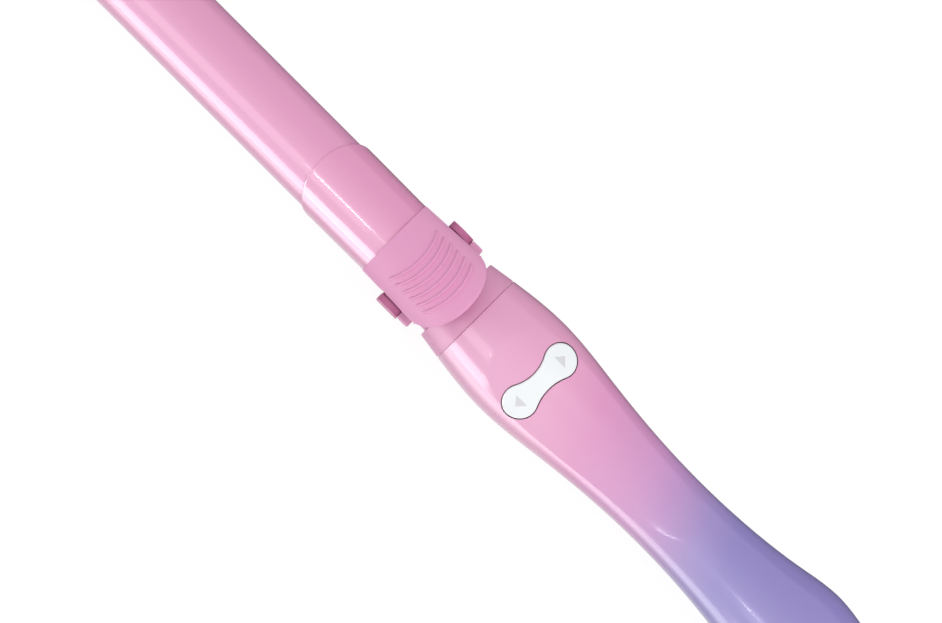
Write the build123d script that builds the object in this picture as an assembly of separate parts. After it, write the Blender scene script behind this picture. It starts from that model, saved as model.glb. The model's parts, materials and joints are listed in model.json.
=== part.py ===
from build123d import *
from math import acos, cos, degrees, pi, radians, sin, sqrt, tan
import os

# Rotating curling iron. All sizes are millimetres. Every piece is drawn about the tool's axis, which is X:
# the cool tip points to -X, the tail to +X, and x is 0 at the seam where the turning collar meets the handle.
# The front, with the clamp, thumb lever and rocker, faces +Z. The last lines move all to the part's origin.

# Running and seating clearances
RUNNING = 0.05
SEATED = 0.03
SIDE_GAP = 0.3

# Barrel and heater
TIP_END = -220.0
TIP_START = -196.0
TIP_R = 17.4
TIP_PLUG = 9.0
BARREL_R = 15.875
BARREL_WALL = 1.2
BARREL_ROOT = -46.0
HEATER_FRONT = -178.0
HEATER_REAR = -76.0
HEATER_WALL = 1.4
HEATER_WEB = 2.0
CERAMIC_LENGTH = 60.0
CERAMIC_WIDTH = 14.0
CERAMIC_THICK = 3.0
FUSE_R = 1.8
FUSE_LENGTH = 14.0
LEAD_R = 0.7
LEAD_PITCH = 2.2

# Clamp: spoon plate, tongue and thumb lever
CLAMP_GAP = 0.15
PLATE_THICK = 0.5
PLATE_HALF_ANGLE = 49.0
PLATE_END = -193.0
TONGUE_FRONT = -82.6
TONGUE_SIDE_BACK = 9.5
TONGUE_R_FRONT = 17.05
TONGUE_R_REAR = 16.75
TONGUE_OVERLAP = 12.0
LEVER_FRONT = -43.0
TAB_LENGTH = 7.0
TAB_THICK = 0.4
TAB_HALF_ANGLE = 60.0
LEVER_TILT = 16.5
LEVER_INNER_R = 16.45
LEVER_R_FRONT = 16.95
LEVER_R_REAR = 17.95
LEVER_R_REAR_AT = 28.6
LEVER_END = -4.8
LEVER_ROUND_START = -14.6
LEVER_SKIRT_LOW = 0.4
LEVER_SKIRT_HIGH = 6.2
LEVER_SKIRT_REAR = 8.6
RIB_COUNT = 6
RIB_FIRST = -29.6
RIB_PITCH = 3.58
RIB_WIDTH = 1.1
RIB_HEIGHT = 0.45
RIB_HALF_CHORD = 13.0
RIB_SAGITTA = 3.7

# Clamp hinge
PIVOT_X = -26.5
HINGE_Z = 13.5
HINGE_PIN_R = 1.5
HINGE_BOSS_R = 3.2
HINGE_BOSS_IN = 6.4
HINGE_BOSS_OUT = 9.8
LEVER_EAR_R = 3.0
LEVER_EAR_THICK = 2.5
SPRING_WIRE_R = 0.6
SPRING_MEAN_R = 2.4
SPRING_PITCH = 1.7
SPRING_TURNS = 4.0
SPRING_LEG = 9.0

# Base sleeve, collar and rest stand
SLEEVE_R = 15.6
SLEEVE_BORE_R = 8.5
SLEEVE_SPIGOT = 12.0
NECK_R = 16.4
NECK_START = -14.5
COLLAR_START = -10.3
COLLAR_R_FRONT = 18.55
COLLAR_R_REAR = 20.15
COLLAR_SEAT_R = 14.0
SLEEVE_END = -6.0
FOOT_DEPTH = 22.8
FOOT_THICK = 2.4
STAND_OUTER_Y = 20.5
STAND_ARM_THICK = 2.6
STAND_ARM_WIDTH = 10.3
STAND_CORNER = 2.0
STAND_POST_R = 2.0
STAND_POST_BLIND = 0.7
STAND_BOSS_R = 3.4
LUG_REAR = -16.0
LUG_OUTER_Y = 20.3
LUG_LOW = -7.0
LUG_HIGH = 2.0
LUG_ROUND = 0.8

# Spindle, internal gear pair and slip rings
SEAM_GAP = 0.3
SPINDLE_R = 9.0
SPINDLE_FLANGE_R = 12.0
SPINDLE_FLANGE = 2.5
SPINDLE_REAR_R = 3.2
SPINDLE_END = 40.0
SPINDLE_BORE_R = 2.2
SPINDLE_SCREWS = 3
SPINDLE_SCREW_PCD_R = 10.4
SPINDLE_SCREW_R = 1.0
SPINDLE_SCREW_LENGTH = 7.0
MODULE = 0.5
PRESSURE_ANGLE = 20.0
RING_TEETH = 52
PINION_TEETH = 14
RING_SHORT_ADDENDUM = 0.64
BACKLASH = 0.05
GEAR_START = 14.0
GEAR_WIDTH = 5.5
RING_WEB = 2.5
RING_OUTER_R = 15.5
RING_SEAT_R = 6.0
SLIP_RING_R = 4.2
SLIP_RING_WIDTH = 3.0
SLIP_RING_STARTS = (27.5, 33.5)
BRUSH_SIDE = 2.2
BRUSH_LENGTH = 2.2

# Handle: radius at each station along the axis, and the crowned face cut into its front
BELLY_X = 26.5
BELLY_R = 22.4
WAIST_X = 100.0
WAIST_R = 16.45
BULB_X = 171.0
SEAM_R = 20.2
HANDLE_STATIONS = (
    (SEAM_GAP, SEAM_R),
    (12.0, 21.7),
    (BELLY_X, BELLY_R),
    (52.0, 20.0),
    (74.5, 17.6),
    (WAIST_X, WAIST_R),
    (134.5, 18.0),
    (151.0, 20.2),
    (BULB_X, FOOT_DEPTH),
    (184.0, 21.3),
)
SHELL_END = 184.0
CROWN_R = 30.0
CROWN_STATIONS = (
    (-2.0, 23.5),
    (12.0, 21.8),
    (26.0, 20.4),
    (40.0, 18.4),
    (56.0, 16.2),
    (77.0, 14.7),
    (98.0, 14.4),
    (112.0, 15.8),
    (128.0, 18.9),
    (150.0, 24.5),
    (190.0, 34.0),
)
HANDLE_WALL = 2.2
CAVITY_START = 10.0
FRONT_WALL = 3.0
BEARING_R = 12.0
SCREW_STATIONS = ((50.0, 12.5), (140.0, 8.0))
SCREW_POST_R = 3.0
SCREW_R = 1.25
SCREW_HEAD_R = 2.2
SCREW_HEAD = 1.6
SCREW_SUNK = 2.4
SCREW_REACH = 6.0

# Motor, carrier and brush gear
CARRIER_START = 21.0
CARRIER_THICK = 3.0
REAR_BUSH_R = 5.5
MOTOR_SHAFT_R = 1.5
GEARBOX_LENGTH = 9.0
GEARBOX_WIDTH = 12.0
GEARBOX_HEIGHT = 10.0
MOTOR_LENGTH = 15.0
MOTOR_SCREW_Y = 4.4
MOTOR_SCREW_R = 0.8
MOTOR_SCREW_HEAD_R = 1.3
BRUSH_BLOCK_BOTTOM = 5.2
BRUSH_BLOCK_TOP = 7.2

# Rocker button across the handle, on the crowned face
ROCKER_X = 33.8
ROCKER_LOBE_R = 6.5
ROCKER_LOBE_Y = 10.75
ROCKER_WAIST = 7.9
ROCKER_PROUD = 0.7
ROCKER_DEPTH = 2.4
ROCKER_GAP = 0.4
ROCKER_PIVOT_DEPTH = 4.6
ROCKER_PIN_R = 0.8
ROCKER_RIB = 2.6
ROCKER_RIB_HALF = 1.8
PLUNGER_R = 1.5
PLUNGER_LENGTH = 2.3
CRADLE_POST = 2.0
CRADLE_DEPTH = 9.8
CRADLE_THICK = 1.2
CRADLE_HALF_X = 8.1
CRADLE_FOOT = 1.1
CRADLE_HALF_Y = 13.5
BOARD_THICK = 1.2
SWITCH_SIDE = 4.5
SWITCH_BODY = 1.6
SWITCH_CAP = 0.75

# Control board, power button and tail
BOARD_START = 56.0
BOARD_END = 118.0
BOARD_HALF_Y = 10.0
BOARD_TOP = -1.8
RIB_THICK = 1.6
POWER_X = 172.0
POWER_R = 4.5
POWER_PROUD = 0.8
POWER_TRAVEL = 0.8
POWER_FLANGE = 1.0
POWER_BOARD_TOP = 12.0
POWER_BOARD_START = 159.0
POWER_BOARD_HALF_Y = 9.0
LIGHT_X = 163.5
LIGHT_R = 1.5
TAIL_END = 198.0
TAIL_TAPER = 2.0
TAIL_ROUND = 8.0
TAIL_SPIGOT = 4.0
TAIL_WALL = 2.2
TAIL_HOLLOW = 9.0
SWIVEL_R = 8.0
SWIVEL_FLANGE_R = 9.6
SWIVEL_FLANGE = 2.0
CORD_BORE_R = 3.6


def cyl(axis, radius, start, end, a=0.0, b=0.0):
    """A cylinder along X, Y or Z from start to end; a and b are its centre's other two coordinates."""
    planes = {
        "X": Plane((start, a, b), z_dir=(1, 0, 0)),
        "Y": Plane((a, start, b), z_dir=(0, 1, 0)),
        "Z": Plane((a, b, start), z_dir=(0, 0, 1)),
    }
    return extrude(planes[axis] * Circle(radius), end - start)


def block(x0, x1, y0, y1, z0, z1):
    """A box between two corners."""
    return Pos((x0 + x1) / 2, (y0 + y1) / 2, (z0 + z1) / 2) * Box(x1 - x0, y1 - y0, z1 - z0)


def turned(points):
    """A solid of revolution about X from a closed outline of (x, radius) points."""
    outline = make_face(Polyline(*points, close=True))
    return revolve(Plane.XZ * outline, Axis.X, 360)


def ring(radius, bore, start, end):
    """A plain ring about X."""
    return cyl("X", radius, start, end) - cyl("X", bore, start - 1, end + 1)


def both_sides(shape):
    """The shape and its mirror image across the tool's middle plane."""
    return shape + mirror(shape, Plane.XZ)


def wedge(half_angle, start, end, reach=40.0):
    """A prism about X that holds the directions within half_angle of straight up."""
    side = (reach * sin(radians(half_angle)), reach * cos(radians(half_angle)))
    corners = [(0, 0), (side[0], side[1]), (side[0], reach), (-side[0], reach), (-side[0], side[1])]
    across = Plane((start, 0, 0), x_dir=(0, 1, 0), z_dir=(1, 0, 0))
    return extrude(across * make_face(Polyline(*corners, close=True)), end - start)


def rounded_plan(straight_end, round_start, round_end, half, height):
    """A prism seen from the front as a strip of half-width half whose one end is half an ellipse."""
    ellipse = Pos(round_start, 0) * Ellipse(abs(round_end - round_start), half)
    low, high = sorted((straight_end, round_start))
    return extrude(ellipse, height) + block(low, high, -half, half, 0, height)


def height_on(path, x):
    """The height of a curve over x, found by halving; the curve runs towards +X."""
    low, high = 0.0, 1.0
    for _ in range(40):
        middle = (low + high) / 2
        if (path @ middle).X < x:
            low = middle
        else:
            high = middle
    return (path @ low).Z, path % low


# Barrel: tube, cool tip and the heater inside
TUBE_BORE_R = BARREL_R - BARREL_WALL


def barrel_tube():
    return ring(BARREL_R, TUBE_BORE_R, TIP_START, BARREL_ROOT)


def cool_tip():
    """A moulded cap with two grip grooves and a plug that fills the tube's end."""
    groove = 0.6
    cap = turned([
        (TIP_END, 0), (TIP_END, TIP_R - 5), (TIP_END + 1.6, TIP_R - 2), (TIP_END + 5, TIP_R - 0.4),
        (TIP_END + 8, TIP_R), (TIP_END + 11, TIP_R), (TIP_END + 11.6, TIP_R - groove),
        (TIP_END + 12.4, TIP_R - groove), (TIP_END + 13, TIP_R), (TIP_END + 15.5, TIP_R),
        (TIP_END + 16.1, TIP_R - groove), (TIP_END + 16.9, TIP_R - groove), (TIP_END + 17.5, TIP_R),
        (TIP_START - 1, TIP_R), (TIP_START, TIP_R - 1),
        (TIP_START, TUBE_BORE_R - RUNNING), (TIP_START + TIP_PLUG, TUBE_BORE_R - RUNNING),
        (TIP_START + TIP_PLUG, TUBE_BORE_R - 2), (TIP_END + 3, TUBE_BORE_R - 2), (TIP_END + 3, 0),
    ])
    return cap


def heat_spreader(side):
    """Half of the split aluminium core; side is 1 for the upper half and -1 for the lower."""
    outer = TUBE_BORE_R - RUNNING
    half = ring(outer, outer - HEATER_WALL, HEATER_FRONT, HEATER_REAR)
    web_low = CERAMIC_THICK / 2
    web = block(HEATER_FRONT, HEATER_REAR, -outer + 0.8, outer - 0.8, web_low, web_low + HEATER_WEB)
    keep = block(HEATER_FRONT, HEATER_REAR, -outer, outer, web_low, outer)
    spreader = (half + web) & keep & cyl("X", outer, HEATER_FRONT, HEATER_REAR)
    return spreader if side > 0 else mirror(spreader, Plane.XY)


CERAMIC_START = (HEATER_FRONT + HEATER_REAR - CERAMIC_LENGTH) / 2


def ptc_heater():
    half = CERAMIC_THICK / 2 - SEATED / 2
    side = CERAMIC_WIDTH / 2
    return block(CERAMIC_START, CERAMIC_START + CERAMIC_LENGTH, -side, side, -half, half)


def thermal_fuse():
    seat = CERAMIC_THICK / 2 + HEATER_WEB + FUSE_R + SEATED
    return cyl("X", FUSE_R, CERAMIC_START, CERAMIC_START + FUSE_LENGTH, 0, seat)


def heater_leads():
    start = CERAMIC_START + CERAMIC_LENGTH + SEATED
    return both_sides(cyl("X", LEAD_R, start, SPINDLE_END - 4, LEAD_PITCH / 2, 0))


# Base sleeve and what pivots on it
STAND_INNER_Y = STAND_OUTER_Y - STAND_ARM_THICK
LUG_FRONT = PIVOT_X + STAND_ARM_WIDTH / 2 + 0.15
POCKET_FLOOR = HINGE_Z - LEVER_EAR_R - SIDE_GAP
EAR_START_Y = HINGE_BOSS_OUT + 0.5
EAR_END_Y = EAR_START_Y + LEVER_EAR_THICK


def base_sleeve():
    """The moulded root of the barrel: plug, hinge bosses, pockets, stand posts and stop lugs in one piece."""
    plug_r = TUBE_BORE_R - RUNNING
    sleeve = turned([
        (BARREL_ROOT - SLEEVE_SPIGOT, SLEEVE_BORE_R), (BARREL_ROOT - SLEEVE_SPIGOT, plug_r - 0.8),
        (BARREL_ROOT - SLEEVE_SPIGOT + 0.8, plug_r), (BARREL_ROOT + SEATED, plug_r),
        (BARREL_ROOT + SEATED, SLEEVE_R), (NECK_START, SLEEVE_R), (NECK_START, NECK_R),
        (COLLAR_START - SEATED, NECK_R), (COLLAR_START - SEATED, COLLAR_SEAT_R - RUNNING),
        (SLEEVE_END, COLLAR_SEAT_R - RUNNING),
        (SLEEVE_END, SPINDLE_BORE_R), (SLEEVE_END - SPINDLE_SCREW_LENGTH - 2, SPINDLE_BORE_R),
        (SLEEVE_END - SPINDLE_SCREW_LENGTH - 2, SLEEVE_BORE_R),
    ])
    boss_in = sqrt(SLEEVE_R**2 - STAND_BOSS_R**2) - 1
    side = cyl("Y", STAND_BOSS_R, boss_in, STAND_INNER_Y - SIDE_GAP, PIVOT_X, 0)
    side += cyl("Y", STAND_POST_R, boss_in, STAND_OUTER_Y - STAND_POST_BLIND - 0.1, PIVOT_X, 0)
    lug_in = sqrt(SLEEVE_R**2 - LUG_LOW**2) - 1
    lug = block(LUG_FRONT, LUG_REAR, lug_in, LUG_OUTER_Y, LUG_LOW, LUG_HIGH)
    side += fillet(lug.faces().sort_by(Axis.Y)[-1].edges(), LUG_ROUND)
    boss_front, boss_rear = PIVOT_X - HINGE_BOSS_R, PIVOT_X + HINGE_BOSS_R
    above_floor = block(boss_front, boss_rear, 0, HINGE_BOSS_OUT, POCKET_FLOOR, HINGE_Z + HINGE_BOSS_R)
    side += cyl("Y", HINGE_BOSS_R, HINGE_BOSS_IN, HINGE_BOSS_OUT, PIVOT_X, HINGE_Z) & above_floor
    sleeve += both_sides(side)
    swing = HINGE_BOSS_R + 0.5
    pocket_y = EAR_END_Y + SIDE_GAP
    ear_pocket = block(PIVOT_X - swing, PIVOT_X + swing, HINGE_BOSS_OUT, pocket_y, POCKET_FLOOR, SLEEVE_R)
    sleeve -= both_sides(ear_pocket)
    spring_room = PIVOT_X + SPRING_LEG + 2
    sleeve -= block(PIVOT_X - swing, spring_room, -HINGE_BOSS_IN, HINGE_BOSS_IN, POCKET_FLOOR, SLEEVE_R)
    sleeve -= cyl("Y", HINGE_PIN_R + RUNNING, -SLEEVE_R, SLEEVE_R, PIVOT_X, HINGE_Z)
    for y, z in spindle_screw_places():
        sleeve -= cyl("X", SPINDLE_SCREW_R + SEATED, SLEEVE_END - SPINDLE_SCREW_LENGTH, SLEEVE_END + 1, y, z)
    return sleeve


def spindle_screw_places():
    """The spindle screws' centres, as (y, z)."""
    angles = [2 * pi * i / SPINDLE_SCREWS for i in range(SPINDLE_SCREWS)]
    return [(SPINDLE_SCREW_PCD_R * cos(angle), SPINDLE_SCREW_PCD_R * sin(angle)) for angle in angles]


def hinge_pin():
    return cyl("Y", HINGE_PIN_R, -EAR_END_Y + 0.2, EAR_END_Y - 0.2, PIVOT_X, HINGE_Z)


def clamp_spring():
    """A torsion spring round the hinge pin, with one leg on the sleeve and one under the lever."""
    length = SPRING_PITCH * SPRING_TURNS
    helix = Helix(SPRING_PITCH, length, SPRING_MEAN_R)
    section = Plane(origin=helix @ 0, z_dir=helix % 0) * Circle(SPRING_WIRE_R)
    coil = sweep(section, path=helix)
    hinge_frame = Plane((PIVOT_X, -length / 2, HINGE_Z), x_dir=(0, 0, -1), z_dir=(0, 1, 0))
    coil = hinge_frame.location * coil
    low_leg = cyl("X", SPRING_WIRE_R, PIVOT_X, PIVOT_X + SPRING_LEG, -length / 2, HINGE_Z - SPRING_MEAN_R)
    lever_turn = Pos(PIVOT_X, length / 2, HINGE_Z) * Rot(0, -LEVER_TILT, 0)
    high_leg = lever_turn * cyl("X", SPRING_WIRE_R, 0, SPRING_LEG, 0, SPRING_MEAN_R)
    return coil + low_leg + high_leg


def rest_stand():
    """A U that goes under the barrel: two arms with round tops on the sleeve's posts, and a flat foot."""
    half = STAND_ARM_WIDTH / 2
    outer = block(PIVOT_X - half, PIVOT_X + half, -STAND_OUTER_Y, STAND_OUTER_Y, -FOOT_DEPTH, 0)
    bottom = outer.faces().sort_by(Axis.Z)[0].edges().filter_by(Axis.X)
    outer = fillet(bottom, STAND_CORNER)
    outer += cyl("Y", half, -STAND_OUTER_Y, STAND_OUTER_Y, PIVOT_X, 0)
    floor = FOOT_THICK - FOOT_DEPTH
    inner = block(PIVOT_X - 2 * half, PIVOT_X + 2 * half, -STAND_INNER_Y, STAND_INNER_Y, floor, 2 * half)
    post_end = STAND_OUTER_Y - STAND_POST_BLIND
    post = both_sides(cyl("Y", STAND_POST_R + RUNNING, STAND_INNER_Y - 1, post_end, PIVOT_X, 0))
    return outer - inner - post


def front_collar():
    """The short cone that covers the sleeve's end and the spindle's flange."""
    flange_end = SLEEVE_END + SPINDLE_FLANGE
    return turned([
        (COLLAR_START, COLLAR_SEAT_R), (COLLAR_START, COLLAR_R_FRONT), (0, COLLAR_R_REAR),
        (0, SPINDLE_R + SEATED), (flange_end + SEATED, SPINDLE_R + SEATED),
        (flange_end + SEATED, COLLAR_SEAT_R),
    ])


# Clamp
PLATE_INNER_R = BARREL_R + CLAMP_GAP
PLATE_OUTER_R = PLATE_INNER_R + PLATE_THICK


def clamp_plate():
    """The sprung spoon that presses hair on the barrel, with rounded corners at its free end."""
    rear = TONGUE_FRONT + TONGUE_OVERLAP
    plate = ring(PLATE_OUTER_R, PLATE_INNER_R, PLATE_END, rear) & wedge(PLATE_HALF_ANGLE, PLATE_END, rear)
    half = PLATE_OUTER_R * sin(radians(PLATE_HALF_ANGLE))
    return plate & rounded_plan(rear + 1, PLATE_END + half, PLATE_END, half, 2 * BARREL_R)


def clamp_tongue():
    """The saddle that joins spoon and lever: half a tube with an arched front edge and a rear tab."""
    full = revolve(
        Plane.XZ * make_face(Polyline(
            (TONGUE_FRONT, PLATE_INNER_R), (TONGUE_FRONT, TONGUE_R_FRONT - 0.25),
            (TONGUE_FRONT + 0.6, TONGUE_R_FRONT), (LEVER_FRONT, TONGUE_R_REAR), (LEVER_FRONT, PLATE_INNER_R),
            close=True,
        )), Axis.X, 360,
    )
    saddle = full & block(TONGUE_FRONT, LEVER_FRONT, -2 * BARREL_R, 2 * BARREL_R, 0, 2 * BARREL_R)
    arch_start = TONGUE_FRONT + TONGUE_SIDE_BACK
    saddle &= rounded_plan(LEVER_FRONT + 1, arch_start, TONGUE_FRONT, TONGUE_R_FRONT, 2 * BARREL_R)
    recess_end = TONGUE_FRONT + TONGUE_OVERLAP + SEATED
    recess = ring(PLATE_OUTER_R + SEATED, PLATE_INNER_R - 1, TONGUE_FRONT - 1, recess_end)
    side_clear = degrees(SEATED / PLATE_OUTER_R)
    saddle -= recess & wedge(PLATE_HALF_ANGLE + side_clear, TONGUE_FRONT - 1, LEVER_FRONT)
    tab = ring(PLATE_INNER_R + TAB_THICK, PLATE_INNER_R, LEVER_FRONT - 2, LEVER_FRONT + TAB_LENGTH)
    return saddle + (tab & wedge(TAB_HALF_ANGLE, LEVER_FRONT - 2, LEVER_FRONT + TAB_LENGTH))


LEVER_PLACE = Pos(LEVER_FRONT, 0, 0) * Rot(0, -LEVER_TILT, 0)
LEVER_REACH = 60.0


def lever_cone(grow):
    """The lever's outer cone about its tilted axis, grown outwards by some millimetres."""
    slope = (LEVER_R_REAR - LEVER_R_FRONT) / LEVER_R_REAR_AT
    start, end = -12.0, LEVER_REACH
    radii = [LEVER_R_FRONT + slope * s + grow for s in (start, end)]
    outline = make_face(Polyline((start, 0), (start, radii[0]), (end, radii[1]), (end, 0), close=True))
    return LEVER_PLACE * revolve(Plane.XZ * outline, Axis.X, 360)


def lever_plan(inset=0.0):
    """The lever seen from the front, as a tall prism: straight sides and a D-shaped end."""
    half = LEVER_R_REAR + 0.05 - inset
    return rounded_plan(LEVER_FRONT, LEVER_ROUND_START, LEVER_END - inset, half, LEVER_REACH)


def thumb_lever():
    """A tilted half pipe with skirts, two hinge ears inside and arched ribs under the thumb."""
    inner = LEVER_PLACE * cyl("X", LEVER_INNER_R, -20, LEVER_REACH)
    above = extrude(
        Plane.XZ * make_face(Polyline(
            (LEVER_FRONT, LEVER_SKIRT_LOW), (LEVER_FRONT + TAB_LENGTH, LEVER_SKIRT_LOW),
            (PIVOT_X - STAND_ARM_WIDTH / 2, LEVER_SKIRT_HIGH), (LEVER_ROUND_START, LEVER_SKIRT_REAR),
            (0, LEVER_SKIRT_REAR), (0, LEVER_REACH), (LEVER_FRONT, LEVER_REACH), close=True,
        )), LEVER_REACH / 2, both=True,
    )
    shell = (lever_cone(0) - inner) & lever_plan() & above
    ear = cyl("Y", LEVER_EAR_R, EAR_START_Y, EAR_END_Y, PIVOT_X, HINGE_Z)
    ear_front, ear_rear = PIVOT_X - LEVER_EAR_R, PIVOT_X + LEVER_EAR_R
    ear += block(ear_front, ear_rear, EAR_START_Y, EAR_END_Y, HINGE_Z, HINGE_Z + 2 * LEVER_EAR_R)
    ears = both_sides(ear) & (LEVER_PLACE * cyl("X", LEVER_INNER_R + 0.2, -20, LEVER_REACH))
    rib_r = (RIB_HALF_CHORD**2 + RIB_SAGITTA**2) / (2 * RIB_SAGITTA)
    skin = lever_cone(RIB_HEIGHT) - lever_cone(-0.2)
    skin &= block(LEVER_FRONT, 0, -RIB_HALF_CHORD, RIB_HALF_CHORD, LEVER_SKIRT_HIGH, LEVER_REACH)
    lever = shell + ears
    for i in range(RIB_COUNT):
        crest = RIB_FIRST + i * RIB_PITCH
        centre = crest - rib_r
        band = cyl("Z", rib_r + RIB_WIDTH / 2, 0, LEVER_REACH, centre, 0)
        band -= cyl("Z", rib_r - RIB_WIDTH / 2, -1, LEVER_REACH + 1, centre, 0)
        low, high = crest - RIB_SAGITTA - 1, crest + RIB_WIDTH
        band &= block(low, high, -RIB_HALF_CHORD, RIB_HALF_CHORD, 0, LEVER_REACH)
        lever += band & skin & lever_plan(0.3)
    return lever - cyl("Y", HINGE_PIN_R + RUNNING, -SLEEVE_R, SLEEVE_R, PIVOT_X, HINGE_Z)


# Spindle and gear pair
RING_PITCH_R = MODULE * RING_TEETH / 2
PINION_PITCH_R = MODULE * PINION_TEETH / 2
GEAR_CENTRES = RING_PITCH_R - PINION_PITCH_R
GEAR_END = GEAR_START + GEAR_WIDTH


def spindle():
    """The hollow shaft that carries the barrel; the leads run through its bore to the slip rings."""
    flange_end = SLEEVE_END + SPINDLE_FLANGE
    shoulder = GEAR_START - RING_WEB
    shaft = turned([
        (SLEEVE_END, SPINDLE_BORE_R), (SLEEVE_END, SPINDLE_FLANGE_R), (flange_end, SPINDLE_FLANGE_R),
        (flange_end, SPINDLE_R), (shoulder, SPINDLE_R), (shoulder, RING_SEAT_R), (GEAR_START, RING_SEAT_R),
        (GEAR_START, SPINDLE_REAR_R), (SPINDLE_END, SPINDLE_REAR_R), (SPINDLE_END, SPINDLE_BORE_R),
    ])
    for y, z in spindle_screw_places():
        shaft -= cyl("X", SPINDLE_SCREW_R + SEATED, SLEEVE_END - 1, flange_end + 1, y, z)
    return shaft


def spindle_screws():
    """Three screws through the spindle's flange, heads sunk in the collar's recess."""
    start = SLEEVE_END - SPINDLE_SCREW_LENGTH + 1
    end = SLEEVE_END + SPINDLE_FLANGE
    return Compound([cyl("X", SPINDLE_SCREW_R, start, end, y, z) for y, z in spindle_screw_places()])


def involute(angle):
    return tan(angle) - angle


def gear_outline(teeth, tip_r, root_r, extra, centre_z):
    """A closed gear outline in the YZ plane with a tooth pointing to -Z. Each flank is a true involute of its
    base circle, from the root, or the base circle where that is larger, to the tip. extra widens each tooth,
    in millimetres at the pitch circle."""
    pitch_r = MODULE * teeth / 2
    pressure = radians(PRESSURE_ANGLE)
    base_r = pitch_r * cos(pressure)
    half_tooth = pi / (2 * teeth) + extra / (2 * pitch_r)
    start_r = max(root_r, base_r)
    radii = [start_r + (tip_r - start_r) * i / 3 for i in range(4)]
    half_angles = [half_tooth + involute(pressure) - involute(acos(min(1.0, base_r / r))) for r in radii]
    flank = list(zip(radii, half_angles))
    if root_r < base_r:
        flank.insert(0, (root_r, flank[0][1]))
    points = []
    for i in range(teeth):
        middle = -pi / 2 + 2 * pi * i / teeth
        polar = [(r, middle - a) for r, a in flank] + [(r, middle + a) for r, a in reversed(flank)]
        points += [(r * cos(t), r * sin(t) + centre_z) for r, t in polar]
    return points


def toothed(teeth, tip_r, root_r, extra, centre_z, start, end):
    points = gear_outline(teeth, tip_r, root_r, extra, centre_z)
    across = Plane((start, 0, 0), x_dir=(0, 1, 0), z_dir=(1, 0, 0))
    return extrude(across * make_face(Polyline(*points, close=True)), end - start)


def ring_gear():
    """The internal gear on the spindle. Its short teeth stay off the small pinion's undercut."""
    body = ring(RING_OUTER_R, RING_SEAT_R + SEATED, GEAR_START - RING_WEB, GEAR_END)
    root_r = RING_PITCH_R + 1.3 * MODULE
    tip_r = RING_PITCH_R - RING_SHORT_ADDENDUM * MODULE
    return body - toothed(RING_TEETH, root_r, tip_r, BACKLASH, 0, GEAR_START, GEAR_END + 1)


def drive_pinion():
    tip_r = PINION_PITCH_R + 0.9 * MODULE
    root_r = PINION_PITCH_R - 1.1 * MODULE
    pinion = toothed(PINION_TEETH, tip_r, root_r, -BACKLASH, -GEAR_CENTRES, GEAR_START + 0.5, GEAR_END)
    return pinion - cyl("X", MOTOR_SHAFT_R + SEATED, GEAR_START - 1, GEAR_END + 1, 0, -GEAR_CENTRES)


GEARBOX_START = CARRIER_START + CARRIER_THICK


def motor_shaft():
    return cyl("X", MOTOR_SHAFT_R, GEAR_START + 0.5, GEARBOX_START + 5, 0, -GEAR_CENTRES)


def slip_ring(start):
    return ring(SLIP_RING_R, SPINDLE_REAR_R + SEATED, start, start + SLIP_RING_WIDTH)


# Handle form, shared by the shells and everything trimmed to their inside
CROWN_PATH = Spline(*[(x, 0, z - CROWN_R) for x, z in CROWN_STATIONS])
PROFILE = Spline(*[(x, 0, r) for x, r in HANDLE_STATIONS])


def handle_radius(x):
    return height_on(PROFILE, x)[0]


def handle_form(inset, start, end):
    """The handle's solid form between two stations, its surface moved inwards by inset: a turned body whose
    front is cut by a crowned face, which is a large circle carried along under the face's line."""
    curve = Spline(*[(x, 0, r - inset) for x, r in HANDLE_STATIONS])
    first, last = HANDLE_STATIONS[0][0], HANDLE_STATIONS[-1][0]
    edges = curve + Line(curve @ 1, (last, 0, 0)) + Line((last, 0, 0), (first, 0, 0))
    edges += Line((first, 0, 0), curve @ 0)
    body = revolve(make_face(edges), Axis.X, 360)
    section = Plane(origin=CROWN_PATH @ 0, z_dir=CROWN_PATH % 0) * Circle(CROWN_R - inset)
    crown = sweep(section, path=CROWN_PATH)
    reach = 2 * CROWN_R
    return body & crown & block(start, end, -reach, reach, -reach, reach)


def face_frame(x):
    """A plane on the crowned face's middle line: Z is the face's normal and X runs along the handle."""
    height, tangent = height_on(CROWN_PATH, x)
    return Plane((x, 0, height + CROWN_R), x_dir=(tangent.X, 0, tangent.Z), z_dir=(-tangent.Z, 0, tangent.X))


ROCKER_FRAME = face_frame(ROCKER_X)


def dog_bone(grow, low, high):
    """The rocker's outline as a prism on the face: two round lobes joined by a waist with hollow sides that
    are tangent to both lobes. The hollow's radius follows from the waist and the lobes."""
    reach = ROCKER_LOBE_Y**2 + (ROCKER_WAIST / 2) ** 2 - ROCKER_LOBE_R**2
    side = reach / (2 * ROCKER_LOBE_R - ROCKER_WAIST)
    centre = ROCKER_WAIST / 2 + side
    share = ROCKER_LOBE_R / (ROCKER_LOBE_R + side)
    touch = (centre * share, ROCKER_LOBE_Y * (1 - share))
    bone = Rectangle(2 * touch[0], 2 * touch[1])
    for way in (1, -1):
        bone -= Pos(way * centre, 0) * Circle(side)
    for way in (1, -1):
        bone += Pos(0, way * ROCKER_LOBE_Y) * Circle(ROCKER_LOBE_R)
    if grow:
        bone = offset(bone, grow)
    return ROCKER_FRAME.location * extrude(Pos(0, 0, low) * bone, high - low)


def face_layer(above, below):
    """The part of a crowned layer near the rocker, between two depths under the face."""
    length = 2 * ROCKER_LOBE_R + 8
    outer = cyl("X", CROWN_R + above, -length / 2, length / 2, 0, -CROWN_R)
    inner = cyl("X", CROWN_R - below, -length / 2 - 1, length / 2 + 1, 0, -CROWN_R)
    return ROCKER_FRAME.location * (outer - inner)


def on_face(shape):
    return ROCKER_FRAME.location * shape


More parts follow.
